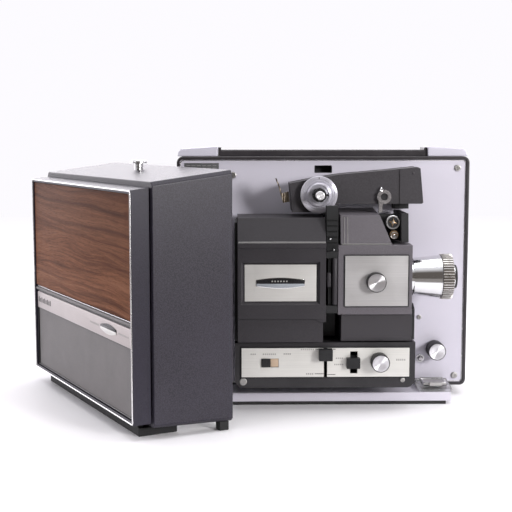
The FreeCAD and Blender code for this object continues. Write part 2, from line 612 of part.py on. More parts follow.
def reel_arm():
    """A tapered channel, open at the back, folded across the top of the plate."""
    outside = [(-34.4, 208.8), (-22.0, 211.2), (12.5, 217.0), (58.8, 221.1), (82.9, 223.6), (85.4, 222.4),
               (88.4, 191.0), (87.0, 190.0), (11.0, 190.0), (4.0, 182.4), (-32.0, 182.4)]
    body = prism_y(outside, ARM_FRONT, ARM_BACK)
    inside = [(-31.6, 206.4), (12.8, 214.4), (59.0, 218.6), (82.6, 220.8), (85.6, 192.6),
              (9.8, 192.6), (2.8, 185.0), (-29.4, 185.0)]
    body = body.cut(prism_y(inside, ARM_FRONT + 2.4, ARM_BACK + 1))
    bosses = [rod_y(*ARM_PIVOT, 7.5, ARM_FRONT + 2, ARM_BACK - 0.4),
              rod_y(*SUPPLY, 7.0, ARM_FRONT - 0.01, -34)]
    groove = box(64.4, 66.6, ARM_FRONT - 1, ARM_FRONT + 0.8, 189, 223)
    bores = [rod_y(*ARM_PIVOT, PIN_R + RUNNING, -41, 0),
             rod_y(*SUPPLY, SPINDLE_SHAFT_R + RUNNING, ARM_FRONT - 1, -30),
             rod_y(*LATCH, LATCH_PIN_R + RUNNING, ARM_FRONT - 1, ARM_FRONT + 5)]
    belt_way = belt_loop(SUPPLY, ARM_PIVOT, 3.4, 8.2, 4.4, 3.0, lambda s, t, w: Vector(s, -29.7 + w, t))
    return cut(fused([body] + bosses), bores + [groove, belt_way])


def supply_belt():
    """The flat belt inside the arm, from the pivot to the spindle."""
    return belt_loop(SUPPLY, ARM_PIVOT, 5.2, 8.6, 2.6, 1.2, lambda s, t, w: Vector(s, -29.0 + w, t))


def supply_disc():
    """The turned back flange that a reel sits against."""
    disc = rod_y(*SUPPLY, DISC_R, -52.4, -49.6)
    face = [e for e in disc.Edges if abs(e.CenterOfMass.y + 52.4) < 1e-3]
    disc = disc.makeFillet(0.9, face)
    step = rod_y(*SUPPLY, 10.6, -54.2, -52.0)
    grooves = [ring_y(*SUPPLY, r + 0.4, r - 0.4, -53, -51.7) for r in (12.6, 14.8)]
    return cut(fused([disc, step]), grooves + [rod_y(*SUPPLY, SPINDLE_SHAFT_R, -56, -48)])


def spindle(x, z, y_face, tail):
    """A stepped spindle: the wide core takes one gauge's reels, the thin nose and its key the other's."""
    core = rod_y(x, z, HUB_R, y_face - 8, y_face - 0.02)
    core_rim = [e for e in core.Edges if abs(e.CenterOfMass.y - (y_face - 8)) < 1e-3]
    core = core.makeFillet(0.8, core_rim)
    nose = rod_y(x, z, SPINDLE_R, y_face - 15, y_face - 7.9)
    nose_rim = [e for e in nose.Edges if abs(e.CenterOfMass.y - (y_face - 15)) < 1e-3]
    nose = nose.makeFillet(1.4, nose_rim)
    key = box(x + HUB_R - 1.5, x + HUB_R + 2.2, y_face - 5.5, y_face - 0.02, z - 0.8, z + 0.8)
    return fused([core, nose, key, rod_y(x, z, SPINDLE_SHAFT_R, y_face - 0.03, tail)])


def supply_spindle():
    pulley = rod_y(*SUPPLY, 4.9, -30, -26)
    return fused([spindle(*SUPPLY, -54.2, -25), pulley])


def arm_latch():
    """A chrome ring with a tapered lever that hooks the folded arm to the gate housing."""
    back = ARM_FRONT - 0.3
    ring = ring_y(*LATCH, 6.4, 3.4, -49.6, back)
    hub = rod_y(*LATCH, 3.5, -48.6, back)
    outline = [(46.4, 194.5), (51.0, 191.2), (50.2, 186.0), (50.6, 182.6), (46.8, 181.9), (47.4, 187.5)]
    return fused([ring, hub, prism_y(outline, -49.0, back), rod_y(*LATCH, LATCH_PIN_R, back - 0.1, -41.2)])


def arm_catch():
    """A thin sprung strip on the arm's outer end, with the brass block that carries it."""
    strip = [(-47.4, 213.0), (-46.4, 213.2), (-43.2, 205.4), (-39.2, 191.0), (-40.2, 190.6), (-44.2, 205.0)]
    block = [(-42.6, 199.0), (-35.2, 201.0), (-34.2, 191.6), (-39.6, 190.8)]
    return fused([prism_y(strip, -42, -31), prism_y(block, -40, -33)])


def take_up_arm():
    """A slim arm that stands folded up the plate's left side."""
    x, z = TAKE_PIVOT
    top, back, front, wall = TAKE_SPINDLE_Z + 2, -10.0, TAKE_FRONT, 2.2

    def strap(half, y0, y1):
        return fused([box(x - half, x + half, y0, y1, z, top), rod_y(x, z, half, y0, y1),
                      rod_y(x, top, half, y0, y1)])

    channel = strap(TAKE_HALF, front, back).cut(strap(TAKE_HALF - wall, front + wall, back + 1))
    bosses = [rod_y(x, z, 7.5, front + 2, back - 0.1), rod_y(x, TAKE_SPINDLE_Z, 7.0, front + 2, -28)]
    bores = [rod_y(x, z, PIN_R + RUNNING, -36, back + 1),
             rod_y(x, TAKE_SPINDLE_Z, SPINDLE_SHAFT_R + RUNNING, front - 1, -20)]
    return cut(fused([channel] + bosses), bores)


def take_up_spindle():
    x, z = TAKE_PIVOT[0], TAKE_SPINDLE_Z
    disc = rod_y(x, z, DISC_R, -46.4, -43.6)
    return fused([disc, spindle(x, z, -46.4, -24)])


def motor_body():
    """The motor's stator and end bells, on a foot to the case's floor."""
    can = rod_x(MOTOR_Y, MOTOR_Z, 28, 0, 44)
    bells = [rod_x(MOTOR_Y, MOTOR_Z, 16, -5, 0.01), rod_x(MOTOR_Y, MOTOR_Z, 16, 43.9, 49)]
    foot = box(4, 40, MOTOR_Y - 20, MOTOR_Y + 20, CASE_BOTTOM + WALL + 0.02, MOTOR_Z - 18)
    bore = rod_x(MOTOR_Y, MOTOR_Z, SHAFT_R + RUNNING, -6, 50)
    return cut(fused([can, foot] + bells), [bore])


def flanged_pulley(y, z, r, flange):
    """A pulley on the belt's line, with a flange each side."""
    return [rod_x(y, z, r, BELT_X - 2, BELT_X + 2), rod_x(y, z, r + flange, BELT_X - 3.5, BELT_X - 2),
            rod_x(y, z, r + flange, BELT_X + 2, BELT_X + 3.5)]


def motor_rotor():
    """The motor's shaft with the drive pulley at its left end."""
    shaft = rod_x(MOTOR_Y, MOTOR_Z, SHAFT_R, BELT_X - 5, 84)
    return fused([shaft] + flanged_pulley(MOTOR_Y, MOTOR_Z, MOTOR_PULLEY_R, 2.5))


def cooling_fan():
    """A drum fan on the motor's shaft that draws air past the lamp."""
    disc = rod_x(MOTOR_Y, MOTOR_Z, 30, 58, 60)
    hub = rod_x(MOTOR_Y, MOTOR_Z, 7, 56, 66)
    blades = []
    for i in range(16):
        blade = box(60, 80, MOTOR_Y - 0.6, MOTOR_Y + 0.6, MOTOR_Z + 21, MOTOR_Z + 29.5)
        blade.rotate(Vector(0, MOTOR_Y, MOTOR_Z), Vector(1, 0, 0), 360.0 * i / 16)
        blades.append(blade)
    rim = rod_x(MOTOR_Y, MOTOR_Z, 30, 79, 81).cut(rod_x(MOTOR_Y, MOTOR_Z, 20.5, 78, 82))
    return cut(fused([disc, hub, rim] + blades), [rod_x(MOTOR_Y, MOTOR_Z, SHAFT_R, 55, 70)])


def transformer():
    """The lamp's transformer: a stacked core round a wound bobbin, on the case's floor."""
    core = box(-110, -66, 24, 66, CASE_BOTTOM + WALL + 0.02, 58)
    windows = [box(-102, -92, 23, 67, 22, 50), box(-84, -74, 23, 67, 22, 50)]
    bobbin = box(-101.8, -74.2, 20, 70, 22.2, 49.8).cut(box(-92, -84, 19, 71, 21, 51))
    return Part.makeCompound([cut(core, windows), bobbin.cut(box(-92, -84, 23, 67, 20, 52))])


def drive_belt():
    """The rubber belt from the motor's pulley to the shutter's, through the slot in the plate."""
    return belt_loop((MOTOR_Y, MOTOR_Z), (SHUTTER_Y, SHUTTER_Z), MOTOR_PULLEY_R + 0.2, SHUTTER_PULLEY_R + 0.2,
                     3.0, 1.6, lambda s, t, w: Vector(BELT_X - 1.5 + w, s, t))


def shutter():
    """The three-bladed shutter with its shaft, pulley and the cam that works the claw."""
    shaft = rod_x(SHUTTER_Y, SHUTTER_Z, SHAFT_R, BELT_X - 4, -8.8)
    pulley = flanged_pulley(SHUTTER_Y, SHUTTER_Z, SHUTTER_PULLEY_R, 2.0)
    disc = rod_x(SHUTTER_Y, SHUTTER_Z, 27.6, -10.4, -9.4)
    gaps = []
    for i in range(3):
        sector = prism_x([(SHUTTER_Y - 9, SHUTTER_Z + 15), (SHUTTER_Y + 9, SHUTTER_Z + 15),
                          (SHUTTER_Y + 15, SHUTTER_Z + 30), (SHUTTER_Y - 15, SHUTTER_Z + 30)], -12, -8)
        sector.rotate(Vector(0, SHUTTER_Y, SHUTTER_Z), Vector(1, 0, 0), 120.0 * i + 60)
        gaps.append(sector)
    cam = rod_x(SHUTTER_Y + 1.2, SHUTTER_Z, 5.5, -12.6, -10.3)
    return fused([shaft, cut(disc, gaps), cam] + pulley)


def sprocket():
    """The film sprocket on its shaft through the plate, with a gear behind."""
    drum = [rod_y(SPROCKET_X, SPROCKET_Z, 5.0, -56, -46), rod_y(SPROCKET_X, SPROCKET_Z, 6.4, -57.4, -55.9)]
    teeth = []
    for i in range(12):
        tooth = box(SPROCKET_X - 0.35, SPROCKET_X + 0.35, -50.6, -49.6, SPROCKET_Z + 4.5, SPROCKET_Z + 6.3)
        tooth.rotate(Vector(SPROCKET_X, -50, SPROCKET_Z), Vector(0, 1, 0), 30.0 * i)
        teeth.append(tooth)
    shaft = rod_y(SPROCKET_X, SPROCKET_Z, 3.4, -46.1, 18)
    gear = rod_y(SPROCKET_X, SPROCKET_Z, 13, 8, 14)
    return fused(drum + teeth + [shaft, gear])


# ---------------------------------------------------------------- controls
def slide_plate(x0, x1, z0, z1):
    """The hidden plate behind the panel's wall that holds a slide in its slot."""
    y0 = PANEL_FRONT + HOUSE_WALL + SLIDE_GAP
    return box(x0, x1, y0, y0 + SLIDE_T, z0, z1)


def power_switch():
    """The slide of the power and lamp switch, at its left stop."""
    x0, x1, z0, z1 = POWER_WINDOW
    gap = SLIDE_GAP
    tab = box(x0 + gap, x0 + 8.2, PANEL_FRONT - 2.6, PANEL_FRONT + 3, z0 + gap, z1 - gap)
    return fused([tab, slide_plate(x0 - 7, x1 + 7, z0 - 2, z1 + 2)])


def format_lever():
    """The gauge selector: a T-shaped thumb piece on a tall slot, at its upper stop."""
    x0, x1, z0, z1 = FORMAT_SLOT
    stem = box(x0 + SLIDE_GAP, x1 - SLIDE_GAP, PANEL_FRONT - 3, PANEL_FRONT + 4.2, z1 - 6.5, z1 - 0.5)
    thumb = box(-8.6, 3.9, PANEL_FRONT - 8.5, PANEL_FRONT - 1.2, 48.6, 59.2)
    thumb = thumb.makeFillet(0.8, edges_along(thumb, Vector(0, 1, 0)))
    return fused([stem, thumb, slide_plate(x0 - 4, x1 + 4, z1 - 10, z1 + 1.8)])


def still_lever():
    """The slow and still-picture control: a cross-shaped thumb piece in the middle of its slot."""
    x0, x1, z0, z1 = STILL_SLOT
    middle = (z0 + z1) / 2
    stem = box(x0 + SLIDE_GAP, x1 - SLIDE_GAP, PANEL_FRONT - 3, PANEL_FRONT + 4.2, middle - 4.4, middle + 4.4)
    thumb = box(16.8, 29.2, PANEL_FRONT - 6.5, PANEL_FRONT - 1.2, middle - 5, middle + 5)
    thumb = thumb.makeFillet(0.8, edges_along(thumb, Vector(0, 1, 0)))
    return fused([stem, thumb, slide_plate(x0 - 3, x1 + 3, middle - 6, middle + 6)])


def speed_knob():
    knob = knurled_knob(*SPEED, 8.4, PANEL_FRONT - FACE_T - 0.4, PANEL_FRONT - 12.5, 32)
    return fused([knob, rod_y(*SPEED, SPEED_SHAFT_R, PANEL_FRONT - FACE_T - 0.5, PANEL_FRONT + 8)])


def mode_knob():
    knob = knurled_knob(*MODE, 8.6, -0.6, -17.0, 32)
    return fused([knob, rod_y(*MODE, MODE_SHAFT_R, -0.7, 12)])


def lamp_button():
    """A small chrome push-button in the plate."""
    head = rod_y(*BUTTON, BUTTON_R, -3.4, 8)
    rim = [e for e in head.Edges if abs(e.CenterOfMass.y + 3.4) < 1e-3]
    return fused([head.makeFillet(1.2, rim), rod_y(*BUTTON, BUTTON_R + 1.5, 5.5, 8)])


# ---------------------------------------------------------------- cover
def placed(shape):
    """Turns a shape from the cover's own axes to where the cover stands."""
    turn = FreeCAD.Rotation(Vector(0, 0, 1), COVER_TURN)
    shape.Placement = FreeCAD.Placement(Vector(COVER_X, COVER_Y, 0), turn)
    return shape


def tapered_box(grow, v0, v1, r):
    """The cover box's outline, moved in by -grow all round, from the plane v0 back to v1."""
    def ring(half, bottom, top, v):
        left, right, low, high = -half - grow, half + grow, bottom - grow, top + grow
        corners = [(left + r, low), (right - r, low), (right, low + r), (right, high - r), (right - r, high),
                   (left + r, high), (left, high - r), (left, low + r)]
        return Part.makePolygon([Vector(u, v, z) for u, z in corners + corners[:1]])
    return Part.makeLoft([ring(BOX_HALF_FRONT, BOX_BOTTOM_FRONT, BOX_TOP_FRONT, v0),
                          ring(BOX_HALF_RIM, BOX_BOTTOM_RIM, BOX_TOP_RIM, v1)], True, True)


def cover_shell():
    """The deep grained box, open at its back rim, with a slot under it that clears the projector's base."""
    w = COVER_WALL
    outer = tapered_box(0.0, BOX_FRONT, BOX_RIM_V, 3.0)
    inner = tapered_box(-w, BOX_FRONT + w, BOX_RIM_V + 0.01, 1.5)
    base_gap = box(-125.5, 125.5, 48, BOX_RIM_V + 10, 0, BOX_BOTTOM_FRONT + 2 * w)
    knob_hole = rod_z(0, LATCH_V, LATCH_BORE_R, BOX_TOP_FRONT - 5, BOX_TOP_RIM + 5)
    return placed(cut(outer.cut(inner), [base_gap, knob_hole]))


def cover_frame():
    """The deep frame in front of the box that holds the panels."""
    h, b, t = FRAME_HALF, FRAME_BOTTOM, FRAME_TOP
    outer = prism_x([(0, b), (FRAME_DEPTH, b), (FRAME_DEPTH, t + 1.8), (0, t)], -h, h)
    well = box(-h + 3.2, h - 3.2, -1, 4.2, b + 3.2, t - 3.2)
    neck = box(-h + 3, h - 3, FRAME_DEPTH - 0.01, BOX_FRONT - 0.02, b + 3, t - 2)
    hollow = box(-h + 6, h - 6, 7.2, BOX_FRONT + 1, b + 6, t - 6)
    return placed(cut(fused([outer, neck]), [well, hollow]))


def cover_trim():
    """The thin bright bead round the frame's front edge."""
    h, b, t = FRAME_HALF, FRAME_BOTTOM, FRAME_TOP
    outer = box(-h + 0.2, h - 0.2, -0.8, -0.02, b + 0.2, t - 0.2)
    return placed(outer.cut(box(-h + 3.2, h - 3.2, -2, 1, b + 3.2, t - 3.2)))


def cover_wood_panel():
    h = FRAME_HALF - PANEL_MARGIN
    return placed(box(-h, h, 1.2, PANEL_SEAT, STRIP_Z1 + 6.5, FRAME_TOP - PANEL_MARGIN))


def cover_nameplate():
    """A plain bright strip across the panel with a lens-shaped boss at its right."""
    h = FRAME_HALF - PANEL_MARGIN
    strip = box(-h, h, 1.0, PANEL_SEAT, STRIP_Z0, STRIP_Z1)
    centre = Vector(h - 44, 1.02, (STRIP_Z0 + STRIP_Z1) / 2)
    rise, reach = Vector(0, 0, 5.2), Vector(26, 0, 0)
    upper = Part.Arc(centre - reach, centre + rise, centre + reach)
    lower = Part.Arc(centre + reach, centre - rise, centre - reach)
    boss = Part.Face(Part.Wire([upper.toShape(), lower.toShape()])).extrude(Vector(0, -0.8, 0))
    return placed(fused([strip, boss]))


def cover_lower_panel():
    h = FRAME_HALF - PANEL_MARGIN
    return placed(box(-h + 3, h - 0.6, 2.6, PANEL_SEAT, FRAME_BOTTOM + 4.4, STRIP_Z0 - 0.6))


def cover_plinth():
    """The black base that the cover stands on, and a small foot at each end of the rim."""
    plinth = box(-120.5, 120.5, 10.5, 46.0, 0, 7.6)
    riser = box(-118, 118, 10.5, 15.8, 7.5, FRAME_BOTTOM - 0.05)
    feet = [box(s * 131.5 - 4, s * 131.5 + 4, 79, 88, 0, BOX_BOTTOM_RIM - 0.02) for s in (-1, 1)]
    return placed(Part.makeCompound([fused([plinth, riser])] + feet))


def cover_latch_knob():
    """The chrome button on top that works the catch; its stem and catch hang inside."""
    cap = rod_z(0, LATCH_V, 7.6, LATCH_TOP - 3.0, LATCH_TOP)
    cap_rim = [e for e in cap.Edges if abs(e.CenterOfMass.z - LATCH_TOP) < 1e-3]
    cap = cap.makeFillet(1.6, cap_rim)
    stem = rod_z(0, LATCH_V, LATCH_BORE_R - RUNNING, 205, LATCH_TOP - 2.9)
    catch = box(-5, 5, LATCH_V - 4, LATCH_V + 4, 203, 206)
    return placed(fused([cap, stem, catch]))


NODES = (
    case_shell, front_bezel, front_plate, catch_socket, base_ledge, front_foot_strip, rear_feet,
    handle_end_caps, handle_bar, screws, power_inlet, mechanism_frame, lamp_socket, projection_lamp,
    condenser_lens, film_guide, film_gate, sprocket_shoe, sprocket_housing, gate_housing, gate_plate,
    control_panel, control_face, film_trimmer_base, film_trimmer_blade, lamp_house,
    lamp_house_plate, focus_knob, lens_barrel, lens_glass, zoom_ring, reel_arm, supply_belt, supply_disc,
    supply_spindle, arm_latch, arm_catch, take_up_arm, take_up_spindle, motor_body, motor_rotor,
    cooling_fan, transformer, drive_belt, shutter, sprocket, power_switch, format_lever, still_lever,
    speed_knob, mode_knob, lamp_button, cover_shell, cover_frame, cover_trim, cover_wood_panel,
    cover_nameplate, cover_lower_panel, cover_plinth, cover_latch_knob,
)


def main():
    os.makedirs("parts", exist_ok=True)
    for make in NODES:
        shape = make()
        shape.exportStep(f"parts/{make.__name__}.step")


main()
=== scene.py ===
"""Looks of the film projector: finishes, small visible pieces, light and camera. Metres, row frame."""

import json
import math

import bmesh
import bpy
from mathutils import Matrix, Vector


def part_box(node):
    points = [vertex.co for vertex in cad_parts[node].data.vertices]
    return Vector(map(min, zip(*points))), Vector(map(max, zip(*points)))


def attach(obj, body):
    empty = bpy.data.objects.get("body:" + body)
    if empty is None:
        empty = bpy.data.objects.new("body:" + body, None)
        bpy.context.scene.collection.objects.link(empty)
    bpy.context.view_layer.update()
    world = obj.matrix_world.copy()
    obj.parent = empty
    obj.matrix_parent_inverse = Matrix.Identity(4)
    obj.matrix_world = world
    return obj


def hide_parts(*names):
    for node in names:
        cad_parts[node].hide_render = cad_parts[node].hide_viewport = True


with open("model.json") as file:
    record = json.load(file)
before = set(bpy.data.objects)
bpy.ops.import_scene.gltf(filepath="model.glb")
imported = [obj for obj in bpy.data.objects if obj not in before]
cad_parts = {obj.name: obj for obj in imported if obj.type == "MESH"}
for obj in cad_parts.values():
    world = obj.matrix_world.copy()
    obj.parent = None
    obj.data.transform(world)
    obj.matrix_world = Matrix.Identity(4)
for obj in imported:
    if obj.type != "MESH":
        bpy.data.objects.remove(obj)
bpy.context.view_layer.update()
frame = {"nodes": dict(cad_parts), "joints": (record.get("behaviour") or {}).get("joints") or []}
MM = 0.001


# ---------------------------------------------------------------- where things are
def low(node):
    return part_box(node)[0]


def high(node):
    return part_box(node)[1]


def middle(node):
    return (low(node) + high(node)) / 2


def cover_axes():
    """The standing cover's own frame: u along its width, v from its front inwards, z up."""
    joint = next(j for j in frame["joints"] if j["name"] == "cover_off")
    v = -Vector(joint["axis"]).normalized()
    u = Vector((v.y, -v.x, 0))
    seat = 2.69 * MM
    origin = middle("cover_wood_panel") - v * seat
    place = Matrix((u, v, Vector((0, 0, 1)))).transposed().to_4x4()
    place.translation = (origin.x, origin.y, 0)
    return place


COVER = cover_axes()


# ---------------------------------------------------------------- finishes
def shade(colour, share):
    return tuple(c * share for c in colour)


class Graph:
    """A node tree being built, with its texture coordinates."""

    def __init__(self, tree, coordinates):
        self.tree = tree
        self.place = self.add("ShaderNodeTexCoord").outputs[coordinates]

    def add(self, kind, **settings):
        node = self.tree.nodes.new(kind)
        for key, value in settings.items():
            setattr(node, key, value)
        return node

    def feed(self, node, socket, source):
        if isinstance(source, bpy.types.NodeSocket):
            self.tree.links.new(source, node.inputs[socket])
        else:
            node.inputs[socket].default_value = source

    def stretched(self, stretch, where=None):
        """Coordinates scaled so that a texture runs long along one axis."""
        node = self.add("ShaderNodeMapping", vector_type="TEXTURE")
        self.feed(node, "Vector", where or self.place)
        node.inputs["Scale"].default_value = stretch
        return node.outputs["Vector"]

    def noise(self, size, detail=3.0, where=None, rough=0.55, bend=0.0):
        node = self.add("ShaderNodeTexNoise")
        self.feed(node, "Vector", where or self.place)
        for socket, value in (("Scale", 1 / size), ("Detail", detail), ("Roughness", rough), ("Distortion", bend)):
            node.inputs[socket].default_value = value
        return node.outputs["Fac"]

    def cells(self, size):
        node = self.add("ShaderNodeTexVoronoi", feature="SMOOTH_F1")
        self.feed(node, "Vector", self.place)
        node.inputs["Scale"].default_value = 1 / size
        node.inputs["Smoothness"].default_value = 0.6
        return node.outputs["Distance"]

    def ramp(self, fac, *stops):
        """A colour ramp; a stop is (place, colour), where a single number is a grey."""
        node = self.add("ShaderNodeValToRGB")
        self.feed(node, "Fac", fac)
        points = node.color_ramp.elements
        while len(points) < len(stops):
            points.new(0.5)
        for point, (place, colour) in zip(points, stops):
            point.position = place
            grey = isinstance(colour, (int, float))
            point.color = (colour, colour, colour, 1) if grey else (*colour, 1)
        return node.outputs["Color"]

    def blend(self, fac, a, b):
        node = self.add("ShaderNodeMix", data_type="RGBA")
        self.feed(node, 0, fac)
        for index, value in ((6, a), (7, b)):
            self.feed(node, index, (*value, 1) if isinstance(value, tuple) else value)
        return node.outputs[2]

    def layer(self, under, over, mask, start, end, most=1.0):
        """Lays one colour over another where the mask rises from start to end."""
        return self.blend(self.ramp(mask, (start, 0.0), (end, most)), under, over)

    def maths(self, what, a, b=0.0):
        node = self.add("ShaderNodeMath", operation=what)
        self.feed(node, 0, a)
        self.feed(node, 1, b)
        return node.outputs[0]

    def part(self, axis):
        """One coordinate of the point: X, Y or Z."""
        node = self.add("ShaderNodeSeparateXYZ")
        self.feed(node, 0, self.place)
        return node.outputs[axis]

    def bump(self, height, depth, strength=1.0, over=None):
        node = self.add("ShaderNodeBump")
        self.feed(node, "Height", height)
        node.inputs["Strength"].default_value = strength
        node.inputs["Distance"].default_value = depth
        if over is not None:
            self.feed(node, "Normal", over)
        return node.outputs["Normal"]


class Finish(Graph):
    """A material being built. Textures are laid in object space, so a size given in metres is real."""

    def __init__(self, name, rough, metal=0.0, **sockets):
        self.material = bpy.data.materials.new(name)
        self.material.use_nodes = True
        super().__init__(self.material.node_tree, "Object")
        self.shader = self.tree.nodes["Principled BSDF"]
        self.shader.inputs["Roughness"].default_value = rough
        self.shader.inputs["Metallic"].default_value = metal
        for socket, value in sockets.items():
            self.shader.inputs[socket.replace("_", " ")].default_value = value

    def done(self, colour=None, rough=None, normal=None, **others):
        for socket, source in (("Base Color", colour), ("Roughness", rough), ("Normal", normal)):
            if source is not None:
                self.feed(self.shader, socket, source)
        for socket, source in others.items():
            self.feed(self.shader, socket.replace("_", " "), source)
        return self.material


def grained(name, dark, light, cell, depth, rough):
    """Moulded plastic or covering cloth with a pebble grain; the valleys are darker than the tops."""
    f = Finish(name, rough, Specular_IOR_Level=0.25)
    grain = f.cells(cell)
    fine = f.noise(cell / 3, 2.0)
    cloud = f.noise(0.06, 3.0)
    body = f.layer(light, dark, grain, 0.12, 0.62)
    body = f.layer(body, light, cloud, 0.35, 0.75, 0.35)
    gloss = f.ramp(fine, (0.3, rough - 0.09), (0.7, rough + 0.12))
    low_relief = f.bump(fine, depth * 0.35)
    return f.done(body, gloss, f.bump(grain, -depth, over=low_relief))


def painted(name, dark, light, speck, depth, rough, metal=0.0, painted_shade_below=None):
    """Sprayed paint with a fine orange peel, faint clouds and rare lighter specks; optionally darker below a given
    height, as painted shade.
    """
    f = Finish(name, rough, metal, Specular_IOR_Level=0.3)
    peel = f.noise(speck, 3.0)
    cloud = f.noise(0.045, 4.0)
    rare = f.noise(speck * 2.2, 1.0)
    body = f.layer(dark, light, peel, 0.3, 0.72)
    body = f.layer(body, light, cloud, 0.3, 0.8, 0.3)
    body = f.layer(body, tuple(min(1.0, c * 1.8) for c in light), rare, 0.7, 0.76, 0.22)
    # Painted shade: below the given height the paint is darkened to 30% of its light tone.
    if painted_shade_below is not None:
        body = f.blend(f.maths("LESS_THAN", f.part("Z"), painted_shade_below), body, shade(light, 0.30))
    gloss = f.ramp(cloud, (0.25, rough - 0.05), (0.75, rough + 0.08))
    return f.done(body, gloss, f.bump(peel, depth))


def brushed(name, colour, along, rough, metal=0.9):
    """Metal with fine straight brush lines along one axis."""
    f = Finish(name, rough, metal, Specular_IOR_Level=0.5)
    long, short = 0.05, 0.00035
    stretch = [short] * 3
    stretch["XYZ".index(along)] = long
    lines = f.noise(1.0, 4.0, f.stretched(stretch), 0.7)
    smear = f.noise(0.03, 4.0)
    worn = f.noise(0.0021, 5.0)
    deep = shade(colour, 0.86)
    body = f.layer(deep, colour, lines, 0.3, 0.7)
    body = f.layer(body, deep, worn, 0.62, 0.8, 0.25)
    gloss = f.blend(f.ramp(smear, (0.35, 0.0), (0.7, 1.0)), (rough - 0.05,) * 3, (rough + 0.07,) * 3)
    return f.done(body, gloss, f.bump(lines, 0.000012, 0.6))


def polished(name, colour, rough):
    """Plated metal: nearly a mirror, with hair scratches and smears."""
    f = Finish(name, rough, 1.0)
    smear = f.noise(0.012, 5.0)
    hair = f.noise(0.0009, 2.0, f.stretched((1, 1, 9)))
    body = f.layer(colour, shade(colour, 0.8), smear, 0.4, 0.8, 0.35)
    gloss = f.ramp(smear, (0.3, rough), (0.75, rough + 0.08))
    return f.done(body, gloss, f.bump(hair, 0.000004, 0.5))


def turned(name, colour, rough, groove=0.00032, metal=1.0):
    """A face turned on a lathe about the object's own Y axis: rings, and light that fans out."""
    f = Finish(name, rough, metal, Anisotropic=0.9, Anisotropic_Rotation=0.25)
    where = f.add("ShaderNodeVectorMath", operation="MULTIPLY")
    f.feed(where, 0, f.place)
    where.inputs[1].default_value = (1, 0, 1)
    radius = f.add("ShaderNodeVectorMath", operation="LENGTH")
    f.feed(radius, 0, where.outputs[0])
    rings = f.maths("SINE", f.maths("MULTIPLY", radius.outputs["Value"], 2 * math.pi / groove))
    wear = f.noise(0.004, 4.0)
    body = f.layer(colour, shade(colour, 0.85), wear, 0.4, 0.75, 0.25)
    tangent = f.add("ShaderNodeTangent", direction_type="RADIAL", axis="Y")
    return f.done(body, f.ramp(wear, (0.3, rough - 0.02), (0.8, rough + 0.03)),
                  f.bump(rings, 0.000002, 0.4), Tangent=tangent.outputs[0])


def moulded(name, dark, light, rough):
    """Plain moulded plastic with faint flow clouds and fine handling marks."""
    f = Finish(name, rough, Specular_IOR_Level=0.32)
    cloud = f.noise(0.02, 4.0)
    marks = f.noise(0.0006, 3.0)
    body = f.layer(dark, light, cloud, 0.3, 0.75)
    return f.done(body, f.ramp(marks, (0.3, rough - 0.06), (0.75, rough + 0.1)), f.bump(marks, 0.000012, 0.5))


def knurled(name, rib_r, bright, dark):
    """A ring about the object's own X axis: worn bright ribs, with dark metal between them."""
    f = Finish(name, 0.3, 0.9)
    y, z = f.part("Y"), f.part("Z")
    radius = f.maths("SQRT", f.maths("ADD", f.maths("MULTIPLY", y, y), f.maths("MULTIPLY", z, z)))
    on_rib = f.maths("GREATER_THAN", radius, rib_r)
    smear = f.noise(0.004, 4.0)
    top = f.layer(bright, shade(bright, 0.75), smear, 0.35, 0.7)
    return f.done(f.blend(on_rib, dark, top), f.ramp(smear, (0.3, 0.24), (0.7, 0.4)), f.bump(smear, 0.00001))


def walnut(name, top, height):
    """Walnut-grained film with the grain along the object's own X axis, deeper in tone towards its top."""
    f = Finish(name, 0.6, Specular_IOR_Level=0.05)
    sway = f.noise(1.0, 2.0, f.stretched((0.30, 0.2, 0.06)), 0.5, 0.2)
    flow = f.add("ShaderNodeVectorMath", operation="MULTIPLY_ADD")
    f.feed(flow, 0, sway)
    flow.inputs[1].default_value = (0, 0, 0.045)
    f.feed(flow, 2, f.place)

    def along_grain(scale, detail, rough, bend=0.0):
        return f.noise(1.0, detail, f.stretched(scale, flow.outputs[0]), rough, bend)

    bands = along_grain((0.34, 0.2, 0.0075), 5.0, 0.66, 0.3)
    streaks = along_grain((0.035, 0.05, 0.0009), 4.0, 0.7)
    pores = f.noise(1.0, 3.0, f.stretched((0.009, 0.012, 0.0005)), 0.75)
    wide = f.noise(1.0, 2.0, f.stretched((0.3, 0.2, 0.05)))
    body = f.ramp(bands, (0.34, (0.040, 0.012, 0.005)), (0.44, (0.118, 0.041, 0.018)),
                  (0.54, (0.190, 0.075, 0.036)), (0.70, (0.250, 0.112, 0.060)))
    body = f.blend(f.ramp(streaks, (0.36, 0.7), (0.54, 0.0)), body, (0.060, 0.020, 0.009))
    body = f.layer(body, (0.26, 0.115, 0.060), streaks, 0.56, 0.70, 0.5)
    body = f.blend(f.ramp(pores, (0.32, 0.6), (0.44, 0.0)), body, (0.026, 0.010, 0.006))
    body = f.layer(body, (0.19, 0.095, 0.062), wide, 0.35, 0.75, 0.35)
    rise = f.maths("DIVIDE", f.maths("SUBTRACT", top, f.part("Z")), height)
    body = f.blend(f.ramp(rise, (0.0, 0.42), (0.75, 0.0)), body, (0.035, 0.012, 0.006))
    return f.done(body, f.ramp(pores, (0.3, 0.68), (0.6, 0.52)), f.bump(pores, 0.00003, 0.5))


def glassy(name, tint, rough, depth_tint=0.0):
    """Clear glass or plastic with a faint coat and dust."""
    f = Finish(name, rough, Transmission_Weight=0.92, IOR=1.5, Coat_Weight=0.3, Coat_Roughness=0.03)
    dust = f.noise(0.0012, 4.0)
    body = f.layer(tint, shade(tint, 0.75), dust, 0.5, 0.8, 0.4 + depth_tint)
    return f.done(body, f.ramp(dust, (0.4, rough), (0.8, rough + 0.1)))


